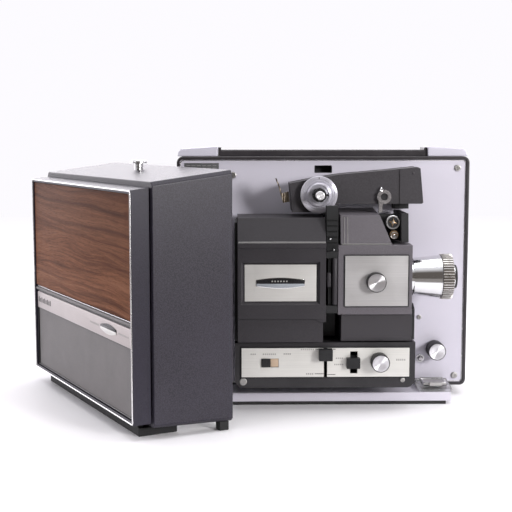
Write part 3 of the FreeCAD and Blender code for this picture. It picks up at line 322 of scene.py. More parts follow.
def rubber(name, dark, light):
    f = Finish(name, 0.75, Specular_IOR_Level=0.3)
    dust = f.noise(0.004, 5.0)
    skin = f.noise(0.0005, 2.0)
    body = f.layer(dark, light, dust, 0.4, 0.75)
    return f.done(body, f.ramp(dust, (0.3, 0.62), (0.7, 0.85)), f.bump(skin, 0.00004))


def layered(name, dark, light, axis, pitch, metal, rough):
    """Stacked sheets or wound wire: dark joints repeated along one axis."""
    f = Finish(name, rough, metal)
    wave = f.maths("SINE", f.maths("MULTIPLY", f.part(axis), 2 * math.pi / pitch))
    grime = f.noise(0.005, 4.0)
    body = f.blend(f.ramp(f.maths("ADD", f.maths("MULTIPLY", wave, 0.5), 0.5), (0.2, 0.0), (0.6, 1.0)), dark, light)
    body = f.layer(body, dark, grime, 0.5, 0.8, 0.5)
    return f.done(body, f.ramp(grime, (0.3, rough), (0.7, rough + 0.2)), f.bump(wave, 0.00008))


def two_tone(name, split_y, front, back):
    """Bright metal on the front side of the plane y = split_y, black plastic behind it."""
    f = Finish(name, 0.3)
    at_front = f.maths("LESS_THAN", f.part("Y"), split_y)
    marks = f.noise(0.003, 4.0)
    metal = f.layer(front, shade(front, 0.75), marks, 0.4, 0.8, 0.5)
    plastic = f.layer(back, shade(back, 1.6), marks, 0.3, 0.7)
    return f.done(f.blend(at_front, plastic, metal), f.ramp(marks, (0.3, 0.18), (0.8, 0.4)),
                  f.bump(marks, 0.00001), Metallic=at_front)


# ---------------------------------------------------------------- making pieces
def piece(name, data, body, finish, place=None):
    """Links a new object, gives it its finish, and lets it ride on its body."""
    made = bpy.data.objects.new(name, data)
    bpy.context.scene.collection.objects.link(made)
    if place is not None:
        made.matrix_world = place
    data.materials.append(finish)
    bpy.context.view_layer.update()
    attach(made, body)
    return made


def at(x, y, z):
    return Matrix.Translation((x, y, z))


def mesh_of(bm, smooth_angle=None):
    """A mesh from a bmesh; faces are smooth, with edges sharper than the angle kept crisp."""
    bmesh.ops.recalc_face_normals(bm, faces=bm.faces)
    mesh = bpy.data.meshes.new("mesh")
    for face in bm.faces:
        face.smooth = smooth_angle is not None
    if smooth_angle is not None:
        for edge in bm.edges:
            edge.smooth = len(edge.link_faces) == 2 and edge.calc_face_angle(0.0) < math.radians(smooth_angle)
    bm.to_mesh(mesh)
    bm.free()
    return mesh


def lathe(profile, steps=96, axis="Y", sides=None):
    """A profile of (distance along the axis, radius) turned about the axis through the local origin.
    sides(step, radius) may vary the radius round the turn, as for flutes."""
    bm = bmesh.new()
    rings = []
    for along, radius in profile:
        if radius < 1e-7:
            rings.append([bm.verts.new(_turned(axis, along, 0.0, 0.0))])
            continue
        ring = []
        for i in range(steps):
            r = sides(i, radius) if sides else radius
            ring.append(bm.verts.new(_turned(axis, along, r, 2 * math.pi * i / steps)))
        rings.append(ring)
    for a, b in zip(rings, rings[1:]):
        for i in range(steps):
            j = (i + 1) % steps
            corners = [a[i % len(a)], a[j % len(a)], b[j % len(b)], b[i % len(b)]]
            loop = [v for k, v in enumerate(corners) if v not in corners[:k]]
            if len(loop) > 2:
                bm.faces.new(loop)
    return bm


def _turned(axis, along, r, angle):
    s, c = r * math.sin(angle), r * math.cos(angle)
    return {"X": (along, c, s), "Y": (s, along, c), "Z": (c, s, along)}[axis]


def spun(name, profile, body, finish, place=None, steps=96, crisp=40, axis="Y", sides=None):
    """A piece turned from a profile given in millimetres."""
    bm = lathe([(along * MM, radius * MM) for along, radius in profile], steps, axis, sides)
    return piece(name, mesh_of(bm, crisp), body, finish, place)


def slab(lo, hi, edge, segments=3):
    """A block with rounded edges."""
    bm = bmesh.new()
    bmesh.ops.create_cube(bm, size=1.0)
    lo, hi = Vector(lo), Vector(hi)
    for v in bm.verts:
        v.co = Vector([lo[i] if v.co[i] < 0 else hi[i] for i in range(3)])
    bmesh.ops.bevel(bm, geom=bm.edges, offset=edge, segments=segments, affect="EDGES", profile=0.5)
    return bm


def bars(spots, depth, edge=0.0):
    """Several thin blocks (x0, x1, z0, z1) printed or inlaid between two depths, as one mesh."""
    return joined(slab((x0, depth[0], z0), (x1, depth[1], z1), edge or 0.02 * MM, 1) for x0, x1, z0, z1 in spots)


def block(name, lo, hi, edge, body, finish, place=None):
    """A piece that is one block with rounded edges."""
    return piece(name, mesh_of(slab(lo, hi, edge), 40), body, finish, place)


def joined(parts):
    """Several bmeshes as one; the parts are freed."""
    whole = bmesh.new()
    for bm in parts:
        mesh = bpy.data.meshes.new("part")
        bm.to_mesh(mesh)
        bm.free()
        whole.from_mesh(mesh)
        bpy.data.meshes.remove(mesh)
    return whole


def rounded_loop(x0, x1, z0, z1, r, y, steps=8):
    """Points round a rectangle with rounded corners, in the plane y."""
    points = []
    for cx, cz, start in ((x1 - r, z1 - r, 0), (x0 + r, z1 - r, 90), (x0 + r, z0 + r, 180), (x1 - r, z0 + r, 270)):
        for i in range(steps + 1):
            a = math.radians(start + 90 * i / steps)
            points.append(Vector((cx + r * math.cos(a), y, cz + r * math.sin(a))))
    return points


def wire(name, points, radius, body, finish, closed=False, place=None):
    """A round bead along points, swept as a curve and kept as a mesh."""
    curve = bpy.data.curves.new(name + "_path", "CURVE")
    curve.dimensions = "3D"
    curve.bevel_depth = radius
    curve.bevel_resolution = 4
    line = curve.splines.new("POLY")
    line.points.add(len(points) - 1)
    for spot, point in zip(line.points, points):
        spot.co = (*point, 1)
    line.use_cyclic_u = closed
    curve.use_fill_caps = not closed
    path = bpy.data.objects.new(name + "_path", curve)
    data = bpy.data.meshes.new_from_object(path)
    data.name = name
    bpy.data.objects.remove(path)
    bpy.data.curves.remove(curve)
    for face in data.polygons:
        face.use_smooth = True
    return piece(name, data, body, finish, place)


def soften(node, width, segments=3, angle=32):
    """Rounds a CAD node's sharp edges a little, so that they catch the light."""
    shown = frame["nodes"][node]
    mesh = shown.data
    for extra in [a.name for a in mesh.attributes if a.name in ("custom_normal", "sharp_edge")]:
        mesh.attributes.remove(mesh.attributes[extra])
    mesh.polygons.foreach_set("use_smooth", [True] * len(mesh.polygons))
    weld = shown.modifiers.new("weld", "WELD")
    weld.merge_threshold = 0.004 * MM
    flat = shown.modifiers.new("planar", "DECIMATE")
    flat.decimate_type = "DISSOLVE"
    flat.angle_limit = math.radians(0.6)
    edge = shown.modifiers.new("edge", "BEVEL")
    edge.width = width
    edge.segments = segments
    edge.limit_method = "ANGLE"
    edge.angle_limit = math.radians(angle)
    edge.use_clamp_overlap = True
    edge.miter_outer = "MITER_ARC"
    even = shown.modifiers.new("even", "WEIGHTED_NORMAL")
    even.keep_sharp = True


def paint_node(finish, *nodes):
    for node in nodes:
        shown = frame["nodes"][node]
        shown.data.materials.clear()
        shown.data.materials.append(finish)


# ---------------------------------------------------------------- the finishes in use
LENS_Y, LENS_Z = middle("zoom_ring").y, middle("zoom_ring").z
TAKE_UP_STEP = low("take_up_spindle").y + 6.95 * MM

CASE_GRAIN = grained("case grain", (0.014, 0.014, 0.017), (0.040, 0.039, 0.046), 1.1 * MM, 0.10 * MM, 0.5)
COVER_GRAIN = grained("cover grain", (0.017, 0.015, 0.021), (0.035, 0.031, 0.045), 0.95 * MM, 0.035 * MM, 0.34)
FRAME_GRAIN = grained("cover frame grain", (0.012, 0.010, 0.018), (0.023, 0.020, 0.034), 0.7 * MM, 0.02 * MM, 0.34)
BEZEL = moulded("bezel plastic", (0.024, 0.021, 0.024), (0.040, 0.036, 0.040), 0.34)
PLATE = painted("plate paint", (0.53, 0.51, 0.585), (0.585, 0.565, 0.64), 0.5 * MM, 0.012 * MM, 0.42, 0.15)
LEDGE = painted("ledge paint", (0.54, 0.52, 0.59), (0.60, 0.58, 0.65), 0.5 * MM, 0.012 * MM, 0.4, 0.15)
CAPS = painted("cap paint", (0.55, 0.54, 0.62), (0.62, 0.60, 0.69), 0.5 * MM, 0.012 * MM, 0.4, 0.15)
HOUSING = painted("housing paint", (0.018, 0.016, 0.019), (0.037, 0.034, 0.039), 0.55 * MM, 0.035 * MM, 0.46)
GATE_STEP = low("gate_plate").z - 7.5 * MM
# The gate housing's lower, recessed block gets painted shade: its paint is darker below GATE_STEP.
GATE = painted("gate housing paint", (0.078, 0.071, 0.080), (0.120, 0.110, 0.124), 0.55 * MM, 0.035 * MM, 0.5,
               painted_shade_below=GATE_STEP)
# Lighter housing paint for the ridges along the housings: a painted highlight.
RIDGE_HIGHLIGHT_PAINT = painted("housing ridge painted highlight", (0.120, 0.118, 0.118), (0.190, 0.186, 0.184), 0.55 * MM, 0.03 * MM, 0.42)
ARM = painted("arm paint", (0.022, 0.020, 0.023), (0.050, 0.046, 0.052), 0.6 * MM, 0.04 * MM, 0.52)
MECH = moulded("mechanism black", (0.010, 0.010, 0.011), (0.024, 0.024, 0.026), 0.5)
GUIDE = moulded("deep black", (0.0035, 0.0035, 0.004), (0.008, 0.008, 0.009), 0.6)
PANEL = moulded("panel moulding", (0.018, 0.017, 0.019), (0.030, 0.028, 0.031), 0.42)
BLACK = moulded("control black", (0.010, 0.010, 0.011), (0.022, 0.022, 0.024), 0.33)
BEIGE = moulded("switch beige", (0.42, 0.31, 0.22), (0.50, 0.38, 0.28), 0.45)
RUBBER = rubber("rubber", (0.016, 0.016, 0.017), (0.036, 0.035, 0.035))
FACE = brushed("control face", (0.70, 0.69, 0.66), "X", 0.42, 0.55)
LAMP_FACE = brushed("lamp house face", (0.66, 0.65, 0.63), "X", 0.42, 0.55)
GATE_FACE = brushed("gate face", (0.60, 0.59, 0.595), "X", 0.36, 0.68)
STRIP = brushed("nameplate metal", (0.45, 0.405, 0.40), "X", 0.4, 0.5)
TRIM = brushed("bright trim", (0.80, 0.79, 0.80), "Z", 0.24, 0.9)
CHROME = polished("chrome", (0.80, 0.80, 0.81), 0.07)
SATIN = polished("satin steel", (0.66, 0.66, 0.67), 0.24)
NOSE = turned("spindle nose", (0.78, 0.77, 0.79), 0.42, 0.4 * MM, 0.6)
DULL = polished("dull steel", (0.42, 0.41, 0.40), 0.34)
BRASS = polished("brass", (0.36, 0.25, 0.15), 0.3)
LATCH = painted("latch plating", (0.34, 0.33, 0.34), (0.62, 0.60, 0.62), 1.2 * MM, 0.02 * MM, 0.26, 0.9)
CATCH = layered("arm catch", (0.05, 0.035, 0.025), (0.34, 0.29, 0.23), "X", 2.2 * MM, 0.9, 0.3)
SPUN = turned("spun face", (0.80, 0.79, 0.82), 0.3)
DISC = turned("reel flange", (0.62, 0.61, 0.68), 0.36, 0.5 * MM, 0.6)
TAKE_UP = two_tone("take-up spindle", TAKE_UP_STEP, (0.82, 0.82, 0.83), (0.012, 0.012, 0.013))
RING = knurled("lens ring", 20.55 * MM, (0.74, 0.72, 0.70), (0.15, 0.135, 0.12))
WOOD = walnut("walnut film", high("cover_wood_panel").z, high("cover_wood_panel").z - low("cover_wood_panel").z)
LOWER = moulded("lower panel", (0.112, 0.104, 0.104), (0.134, 0.124, 0.124), 0.5)
GLASS = glassy("lens glass", (0.90, 0.93, 0.97), 0.02)
CLEAR = glassy("clear plastic", (0.86, 0.86, 0.87), 0.12, 0.2)
BULB = glassy("lamp glass", (0.95, 0.95, 0.93), 0.05)
CERAMIC = moulded("ceramic", (0.70, 0.67, 0.60), (0.80, 0.78, 0.72), 0.25)
WINDING = layered("winding", (0.10, 0.035, 0.012), (0.36, 0.15, 0.06), "Z", 0.6 * MM, 0.6, 0.35)
SHEETS = layered("laminations", (0.07, 0.07, 0.075), (0.26, 0.26, 0.27), "X", 0.7 * MM, 0.8, 0.4)
BADGE_DARK = moulded("badge black", (0.008, 0.008, 0.009), (0.016, 0.016, 0.018), 0.22)
BADGE_LIGHT = moulded("badge grey", (0.26, 0.28, 0.31), (0.32, 0.34, 0.37), 0.3)
INK = moulded("printed ink", (0.020, 0.020, 0.020), (0.045, 0.045, 0.045), 0.5)
FAINT_INK = moulded("faint ink", (0.27, 0.26, 0.25), (0.36, 0.35, 0.34), 0.5)
LABEL = grained("label", (0.050, 0.050, 0.052), (0.13, 0.13, 0.135), 0.5 * MM, 0.05 * MM, 0.5)
LINING = grained("lining", (0.016, 0.016, 0.018), (0.035, 0.035, 0.038), 0.6 * MM, 0.08 * MM, 0.75)


def finish_cad_nodes():
    for finish, nodes in (
        (CASE_GRAIN, ("case_shell",)), (COVER_GRAIN, ("cover_shell",)), (FRAME_GRAIN, ("cover_frame",)),
        (BEZEL, ("front_bezel", "handle_bar")), (PLATE, ("front_plate",)),
        (LEDGE, ("base_ledge",)), (CAPS, ("handle_end_caps",)), (HOUSING, ("lamp_house",)),
        (GATE, ("gate_housing",)), (ARM, ("reel_arm", "take_up_arm")), (PANEL, ("control_panel",)),
        (MECH, ("mechanism_frame", "film_gate", "sprocket_housing", "catch_socket", "shutter")),
        (GUIDE, ("film_guide", "cover_plinth")),
        (BLACK, ("power_inlet", "power_switch", "format_lever", "still_lever", "cooling_fan")),
        (RUBBER, ("front_foot_strip", "rear_feet", "supply_belt", "drive_belt")),
        (FACE, ("control_face",)), (LAMP_FACE, ("lamp_house_plate",)), (GATE_FACE, ("gate_plate",)),
        (STRIP, ("cover_nameplate",)), (TRIM, ("cover_trim",)),
        (CHROME, ("lens_barrel", "sprocket")), (SATIN, ("cover_latch_knob",)), (LATCH, ("arm_latch", "lamp_button")),
        (DULL, ("screws", "motor_rotor", "film_trimmer_blade")), (BRASS, ("sprocket_shoe",)), (CATCH, ("arm_catch",)),
        (BLACK, ("supply_spindle",)), (TAKE_UP, ("take_up_spindle",)), (DULL, ("zoom_ring",)),
        (GLASS, ("lens_glass", "condenser_lens")), (BULB, ("projection_lamp",)), (CERAMIC, ("lamp_socket",)),
        (CLEAR, ("film_trimmer_base",)), (SHEETS, ("motor_body",)), (WINDING, ("transformer",)),
        (LOWER, ("cover_lower_panel",)), (WOOD, ("cover_wood_panel",)), (DISC, ("supply_disc",)),
        (SPUN, ("focus_knob", "speed_knob", "mode_knob")),
    ):
        paint_node(finish, *nodes)


def soften_cad_nodes():
    for node, width in (
        ("case_shell", 1.2), ("cover_shell", 1.3), ("cover_frame", 0.9), ("lamp_house", 0.7),
        ("gate_housing", 0.6), ("control_panel", 0.7), ("reel_arm", 0.8), ("take_up_arm", 0.8),
        ("base_ledge", 0.4), ("handle_end_caps", 0.8), ("cover_plinth", 0.8), ("front_foot_strip", 0.5),
        ("film_trimmer_base", 0.4), ("film_trimmer_blade", 0.2), ("control_face", 0.2), ("gate_plate", 0.25),
        ("lamp_house_plate", 0.25), ("power_switch", 0.3), ("format_lever", 0.4), ("still_lever", 0.4),
        ("cover_nameplate", 0.35), ("cover_lower_panel", 0.3), ("film_guide", 0.3), ("film_gate", 0.3),
        ("sprocket_housing", 0.4), ("arm_catch", 0.2), ("power_inlet", 0.4), ("mechanism_frame", 0.5),
    ):
        soften(node, width * MM)


# ---------------------------------------------------------------- front plate
def plate_lip():
    """The bright edge of the plate, just inside the black bezel."""
    lo, hi = low("front_plate"), high("front_plate")
    inset, r = 0.75 * MM, 3.0 * MM
    ring = rounded_loop(lo.x + inset, hi.x - inset, lo.z + inset, hi.z - inset, r, -0.1 * MM)
    wire("plate_lip", ring, 0.42 * MM, "projector", TRIM, closed=True)


def rating_label():
    """A dark textured strip at the plate's upper left, with plain ruled lines."""
    lo, hi = low("front_plate"), high("front_plate")
    left, top = lo.x + 4.2 * MM, hi.z - 3.4 * MM
    width, height, skin = 33 * MM, 6.8 * MM, 0.35 * MM
    piece("rating_label", mesh_of(slab((left, -skin, top - height), (left + width, 0.1 * MM, top), 0.15 * MM), 40),
          "projector", LABEL)
    rules = [(left + (2 + 5 * i) * MM, left + (5.6 + 5 * i) * MM, top - z * MM, top - (z - 0.35) * MM)
             for i in range(6) for z in (2.6, 4.9)]
    piece("rating_label_lines", mesh_of(bars(rules, (-skin - 0.04 * MM, -skin + 0.05 * MM))),
          "projector", FAINT_INK)


def catch_bezel():
    lo, hi = low("catch_socket"), high("catch_socket")
    edge = 1.3 * MM
    ring = rounded_loop(lo.x + edge, hi.x - edge, lo.z + edge, hi.z - edge, 0.6 * MM, -0.05 * MM, 4)
    wire("catch_bezel", ring, 0.3 * MM, "projector", BLACK, closed=True)


def button_collar():
    """A turned collar round the push-button."""
    centre = middle("lamp_button")
    profile = [(0.2, 3.9), (-0.5, 3.9), (-0.9, 3.6), (-0.9, 2.9), (-0.6, 2.65), (0.2, 2.65)]
    spun("button_collar", profile, "projector", SATIN, at(centre.x, 0, centre.z), 64)


# ---------------------------------------------------------------- knobs
def knob(name, node, body, flutes):
    """A black fluted skirt with a black rim and a spun, slightly dished face."""
    lo, hi = low(node), high(node)
    centre, r, front = middle(node), (hi.x - lo.x) / 2, lo.y
    skirts = {"focus_knob": 7.6, "speed_knob": 11.3, "mode_knob": 16.4}
    depth = skirts[node] * MM
    place = at(centre.x, front, centre.z)
    per = 6

    def fluted(step, radius):
        return radius - (0.45 * MM if step % per < 2 else 0.0)

    profile = [(depth, r * 0.6), (depth, r), (depth * 0.5, r), (1.0 * MM, r - 0.05 * MM), (0.45 * MM, r - 0.15 * MM)]
    bm = lathe(profile + [(0.2 * MM, r - 0.4 * MM), (0.5 * MM, r - 0.7 * MM)], flutes * per, sides=fluted)
    piece(name + "_skirt", mesh_of(bm, 40), body, BLACK, place)
    rim = [(0.6, r / MM - 0.6), (0.12, r / MM - 0.55), (0.0, r / MM - 0.7), (0.15, r / MM - 0.85), (0.6, r / MM - 0.9)]
    spun(name + "_rim", rim, body, BLACK, place)
    dish = [(0.35 * MM, r - 0.8 * MM), (0.3 * MM, r - 1.0 * MM), (0.55 * MM, r * 0.6), (0.7 * MM, r * 0.25),
            (0.72 * MM, 0.0)]
    piece(name + "_face", mesh_of(lathe(dish, 128), 60), body, SPUN, place)
    shaft = [(depth - 0.1 * MM, 3.1 * MM), (depth + 1.0 * MM, 3.1 * MM)]
    piece(name + "_shaft", mesh_of(lathe(shaft, 48), 40), body, DULL, place)
    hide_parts(node)


# ---------------------------------------------------------------- housings
def barrel_outline(cx, cz, reach, end, rise, part, steps=24):
    """A badge outline with arched top and bottom and short straight ends."""
    def arch(i):
        s = -1 + 2 * i / steps
        return cx + reach * s, end + (rise - end) * math.cos(s * math.pi / 2)
    top = [(x, cz + h) for x, h in (arch(i) for i in range(steps + 1))]
    bottom = [(x, cz - h) for x, h in (arch(i) for i in range(steps, -1, -1))]
    if part == "upper":
        return top + [(cx + reach, cz), (cx - reach, cz)]
    if part == "lower":
        return [(cx - reach, cz), (cx + reach, cz)] + bottom
    return top + bottom


def flat_shape(outline, y0, y1, edge=0.0):
    bm = bmesh.new()
    front = bm.faces.new([bm.verts.new((x, y0, z)) for x, z in outline])
    solid = bmesh.ops.extrude_face_region(bm, geom=[front])
    for v in solid["geom"]:
        if isinstance(v, bmesh.types.BMVert):
            v.co.y = y1
    bmesh.ops.remove_doubles(bm, verts=bm.verts, dist=1e-7)
    if edge:
        rim = [e for e in bm.edges if all(abs(v.co.y - y0) < 1e-7 for v in e.verts)]
        bmesh.ops.bevel(bm, geom=rim, offset=edge, segments=2, affect="EDGES", profile=0.5)
    return bm


def lamp_badge():
    """The two-tone barrel-shaped badge on the lamp house, with a row of film perforations for a motif."""
    lo, hi = low("lamp_house_plate"), high("lamp_house_plate")
    c, y = (lo + hi) / 2, lo.y
    reach, end, rise = 21.6 * MM, 2.5 * MM, 4.5 * MM
    rim = barrel_outline(c.x, c.z, reach + 0.5 * MM, end + 0.45 * MM, rise + 0.5 * MM, "whole")
    piece("lamp_badge_rim", mesh_of(flat_shape(rim, y - 0.35 * MM, y + 0.1 * MM, 0.12 * MM), 40), "lamp_house",
          CHROME)
    split = c.z - 0.6 * MM
    upper = barrel_outline(c.x, split, reach, end + 0.6 * MM, rise + 0.6 * MM, "upper")
    lower = barrel_outline(c.x, split, reach, end - 0.6 * MM, rise - 0.6 * MM, "lower")
    piece("lamp_badge_upper", mesh_of(flat_shape(upper, y - 0.5 * MM, y - 0.2 * MM, 0.08 * MM), 40), "lamp_house",
          BADGE_DARK)
    piece("lamp_badge_lower", mesh_of(flat_shape(lower, y - 0.5 * MM, y - 0.2 * MM, 0.08 * MM), 40), "lamp_house",
          BADGE_LIGHT)
    holes = [(c.x + (-8 + 2.6 * i) * MM, c.x + (-6.7 + 2.6 * i) * MM, c.z + 1.0 * MM, c.z + 2.2 * MM) for i in range(6)]
    piece("lamp_badge_motif", mesh_of(bars(holes, (y - 0.55 * MM, y - 0.45 * MM), 0.1 * MM)), "lamp_house",
          FAINT_INK)


def housing_ridges():
    """Bright edges painted lighter than the housing as a painted highlight: the strip at the foot of each slope, and
    the rib up the hood's left side.
    """
    lamp_lo, lamp_hi = low("lamp_house"), high("lamp_house")
    z = lamp_hi.z - 21.4 * MM
    points = [Vector((lamp_lo.x + 0.8 * MM, lamp_lo.y + 1.5 * MM, z)), Vector((lamp_hi.x - 0.8 * MM, lamp_lo.y + 1.5 * MM, z))]
    # The lamp house's ridge, in the lighter paint as a painted highlight.
    wire("lamp_ridge", points, 1.15 * MM, "lamp_house", RIDGE_HIGHLIGHT_PAINT)
    gate_lo, gate_hi = low("gate_housing"), high("gate_housing")
    foot, top = high("gate_plate").z + 9.6 * MM, gate_hi.z - 4.6 * MM
    front, lean = gate_lo.y + 2.0 * MM, 5.2 * MM
    # The hood's foot strip and ribs, in the lighter paint as a painted highlight.
    points = [Vector((gate_lo.x + 3.2 * MM, front + 0.3 * MM, foot)),
              Vector((gate_lo.x + 47.5 * MM, front + 0.3 * MM, foot))]
    wire("hood_foot", points, 0.8 * MM, "projector", RIDGE_HIGHLIGHT_PAINT)
    for i, dx in enumerate((5.6, 8.6)):
        points = [Vector((gate_lo.x + dx * MM, front + 0.25 * MM + lean * t, foot + (top - foot) * t)) for t in (0, 0.5, 0.97)]
        wire(f"hood_rib_{i + 1}", points, 0.5 * MM, "projector", RIDGE_HIGHLIGHT_PAINT)


def plate_border(name, node, body, finish, radius):
    """A thin frame round a flat plate."""
    lo, hi = low(node), high(node)
    ring = rounded_loop(lo.x, hi.x, lo.z, hi.z, 0.7 * MM, lo.y + 0.35 * MM, 4)
    wire(name, ring, radius, body, finish, closed=True)


def guide_details():
    """On the black film guide: two bright pins, and a roller and a clip in the gate's gap."""
    lo, hi = low("film_guide"), high("film_guide")
    for name, dx, dz, r in (("guide_pin_upper", 3.3, -29.2, 0.75), ("guide_pin_lower", 6.6, -39.2, 0.6)):
        profile = [(1.2, r), (0.25, r), (0.0, r * 0.6), (-0.05, 0.0)]
        place = at(lo.x + dx * MM, lo.y - 0.2 * MM, hi.z + dz * MM)
        spun(name, profile, "projector", SATIN, place, 32)
    gap_lo, gap_hi = low("gate_plate").z + 2.0 * MM, high("gate_plate").z - 2.5 * MM
    x, y = low("gate_housing").x - 3.0 * MM, low("film_guide").y + 4.0 * MM
    roller = [(gap_lo, 1.9), (gap_lo + 0.5 * MM, 2.3), (gap_hi - 0.5 * MM, 2.3), (gap_hi, 1.9)]
    bm = lathe([(a, r * MM) for a, r in roller], 48, axis="Z")
    piece("gate_roller", mesh_of(bm, 40), "projector", HOUSING, at(x, y, 0))
    clip_z = (gap_lo + gap_hi) / 2 + 1.5 * MM
    block("gate_clip", (x - 7.2 * MM, y - 1.6 * MM, clip_z - 6.5 * MM),
          (x - 3.6 * MM, y + 3 * MM, clip_z + 6.5 * MM), 0.9 * MM, "projector", HOUSING)


def control_marks():
    """Plain ticks and dashes printed on the control face beside each control."""
    y = low("control_face").y
    depth = (y - 0.04 * MM, y + 0.1 * MM)
    fmt, still, speed, power = (middle(n) for n in ("format_lever", "still_lever", "speed_knob", "power_switch"))
    face_lo, face_hi = low("control_face"), high("control_face")
    top, foot = face_hi.z - 2.0 * MM, face_lo.z + 3.2 * MM
    ticks = [(fmt.x - 9.6 * MM, fmt.x - 1.4 * MM, foot, foot + 0.6 * MM),
             (fmt.x + 2.0 * MM, fmt.x + 9.4 * MM, foot - 0.7 * MM, foot - 0.1 * MM),
             (fmt.x - 9.2 * MM, fmt.x - 6.0 * MM, top, top + 0.6 * MM),
             (fmt.x + 6.6 * MM, fmt.x + 9.4 * MM, top, top + 0.6 * MM)]
    piece("control_ticks", mesh_of(bars(ticks, depth)), "projector", INK)

    def dashes(x, z, count, height, width=1.15, gap=0.65):
        return [(x + (width + gap) * i * MM, x + ((width + gap) * i + width) * MM, z, z + height * MM)
                for i in range(count)]

    dark = dashes(fmt.x - 22.5 * MM, top - 0.6 * MM, 7, 1.5) + dashes(fmt.x - 17.5 * MM, foot - 0.5 * MM, 4, 1.5)
    dark += dashes(fmt.x + 9.6 * MM, still.z + 3.2 * MM, 4, 1.3) + dashes(fmt.x + 8.2 * MM, still.z - 2.6 * MM, 5, 1.3)
    dark += dashes(speed.x + 15.5 * MM, speed.z + 0.4 * MM, 5, 1.7)
    piece("control_dashes", mesh_of(bars(dark, depth)), "projector", FAINT_INK)
    pale = dashes(power.x - 17.8 * MM, power.z + 7.4 * MM, 3, 1.4) + dashes(power.x - 6.6 * MM, power.z + 7.4 * MM, 7, 1.4)
    pale += dashes(power.x + 12.4 * MM, power.z + 7.6 * MM, 4, 1.4)
    piece("control_pale_dashes", mesh_of(bars(pale, depth)), "projector", FAINT_INK)


def switch_cap():
    """The beige insert beside the power slide's black thumb piece."""
    lo, hi = low("power_switch"), high("power_switch")
    left, y = lo.x + 15.3 * MM, low("control_face").y
    mid = (lo.z + hi.z) / 2
    block("switch_insert", (left, y + 0.5 * MM, mid - 3.7 * MM), (left + 7.6 * MM, y + 2.2 * MM, mid + 3.7 * MM),
          0.4 * MM, "power_switch", BEIGE)
    ribs = [(lo.x + (8.4 + 1.5 * i) * MM, lo.x + (9.0 + 1.5 * i) * MM, mid - 3.2 * MM, mid + 3.2 * MM) for i in range(5)]
    piece("switch_ribs", mesh_of(bars(ribs, (lo.y - 0.25 * MM, lo.y + 0.3 * MM), 0.15 * MM), 40), "power_switch",
          BLACK)


# ---------------------------------------------------------------- film path and lens
def sprocket_face():
    """A bright rim round a dark recess with a worn brass star in it, on the film sprocket's end."""
    spin = next(j for j in frame["joints"] if j["name"] == "sprocket_spin")
    place = at(spin["pos_m"][0], low("sprocket").y, spin["pos_m"][2])
    ring = [(1.2, 6.4), (-0.7, 6.4), (-1.15, 6.0), (-1.1, 5.1), (-0.5, 4.8), (0.6, 4.7)]
    spun("sprocket_rim", ring, "sprocket", SATIN, place, 72, 35)
    well = [(-0.25, 4.85), (-0.2, 2.0), (-0.2, 0.0)]
    spun("sprocket_well", well, "sprocket", MECH, place, 48, 35)
    points = 4
    outline = []
    for i in range(points * 2):
        r = (4.2 if i % 2 == 0 else 1.5) * MM
        a = math.pi * i / points + 0.2
        outline.append((r * math.sin(a), r * math.cos(a)))
    star = flat_shape(outline, -0.9 * MM, -0.2 * MM, 0.3 * MM)
    piece("sprocket_star", mesh_of(star, 30), "sprocket", BRASS, place)
    hub = [(-0.7, 1.3), (-1.15, 1.1), (-1.3, 0.0)]
    spun("sprocket_hub", hub, "sprocket", DULL, place, 40, 35)


def shoe_details():
    """A screw and a small spring on the brass shoe under the sprocket."""
    c, y = middle("sprocket_shoe"), low("sprocket_shoe").y
    head = [(0.4, 1.9), (-0.5, 1.8), (-0.9, 1.3), (-0.95, 0.0)]
    spun("shoe_screw", head, "projector", CHROME, at(c.x + 0.3 * MM, y, c.z - 1.4 * MM), 40, 35)
    turns, steps = 3, 20
    coil = []
    for i in range(turns * steps + 1):
        a = 2 * math.pi * i / steps
        coil.append(Vector((c.x + 2.9 * MM * math.cos(a), y + (0.7 - 0.6 * i / steps) * MM,
                            c.z - 0.6 * MM + 2.9 * MM * math.sin(a))))
    wire("shoe_spring", coil, 0.3 * MM, "projector", DULL)


def latch_tip():
    """The pointed stop above the latch's ring, and its dark centre."""
    lo, hi = low("arm_latch"), high("arm_latch")
    ring_z, ring_x = hi.z - 6.4 * MM, hi.x - 6.4 * MM
    tip = [(0.0, 1.9), (1.4, 1.7), (3.2, 0.6), (3.6, 0.0)]
    place = at(ring_x - 2.6 * MM, lo.y + 1.6 * MM, ring_z + 5.4 * MM)
    spun("latch_tip", tip, "arm_latch", CHROME, place, 32, axis="Z")
    cup = [(0.0, 3.3), (0.6, 3.0), (0.8, 0.0)]
    spun("latch_cup", cup, "arm_latch", MECH, at(ring_x, lo.y + 0.15 * MM, ring_z), 40)


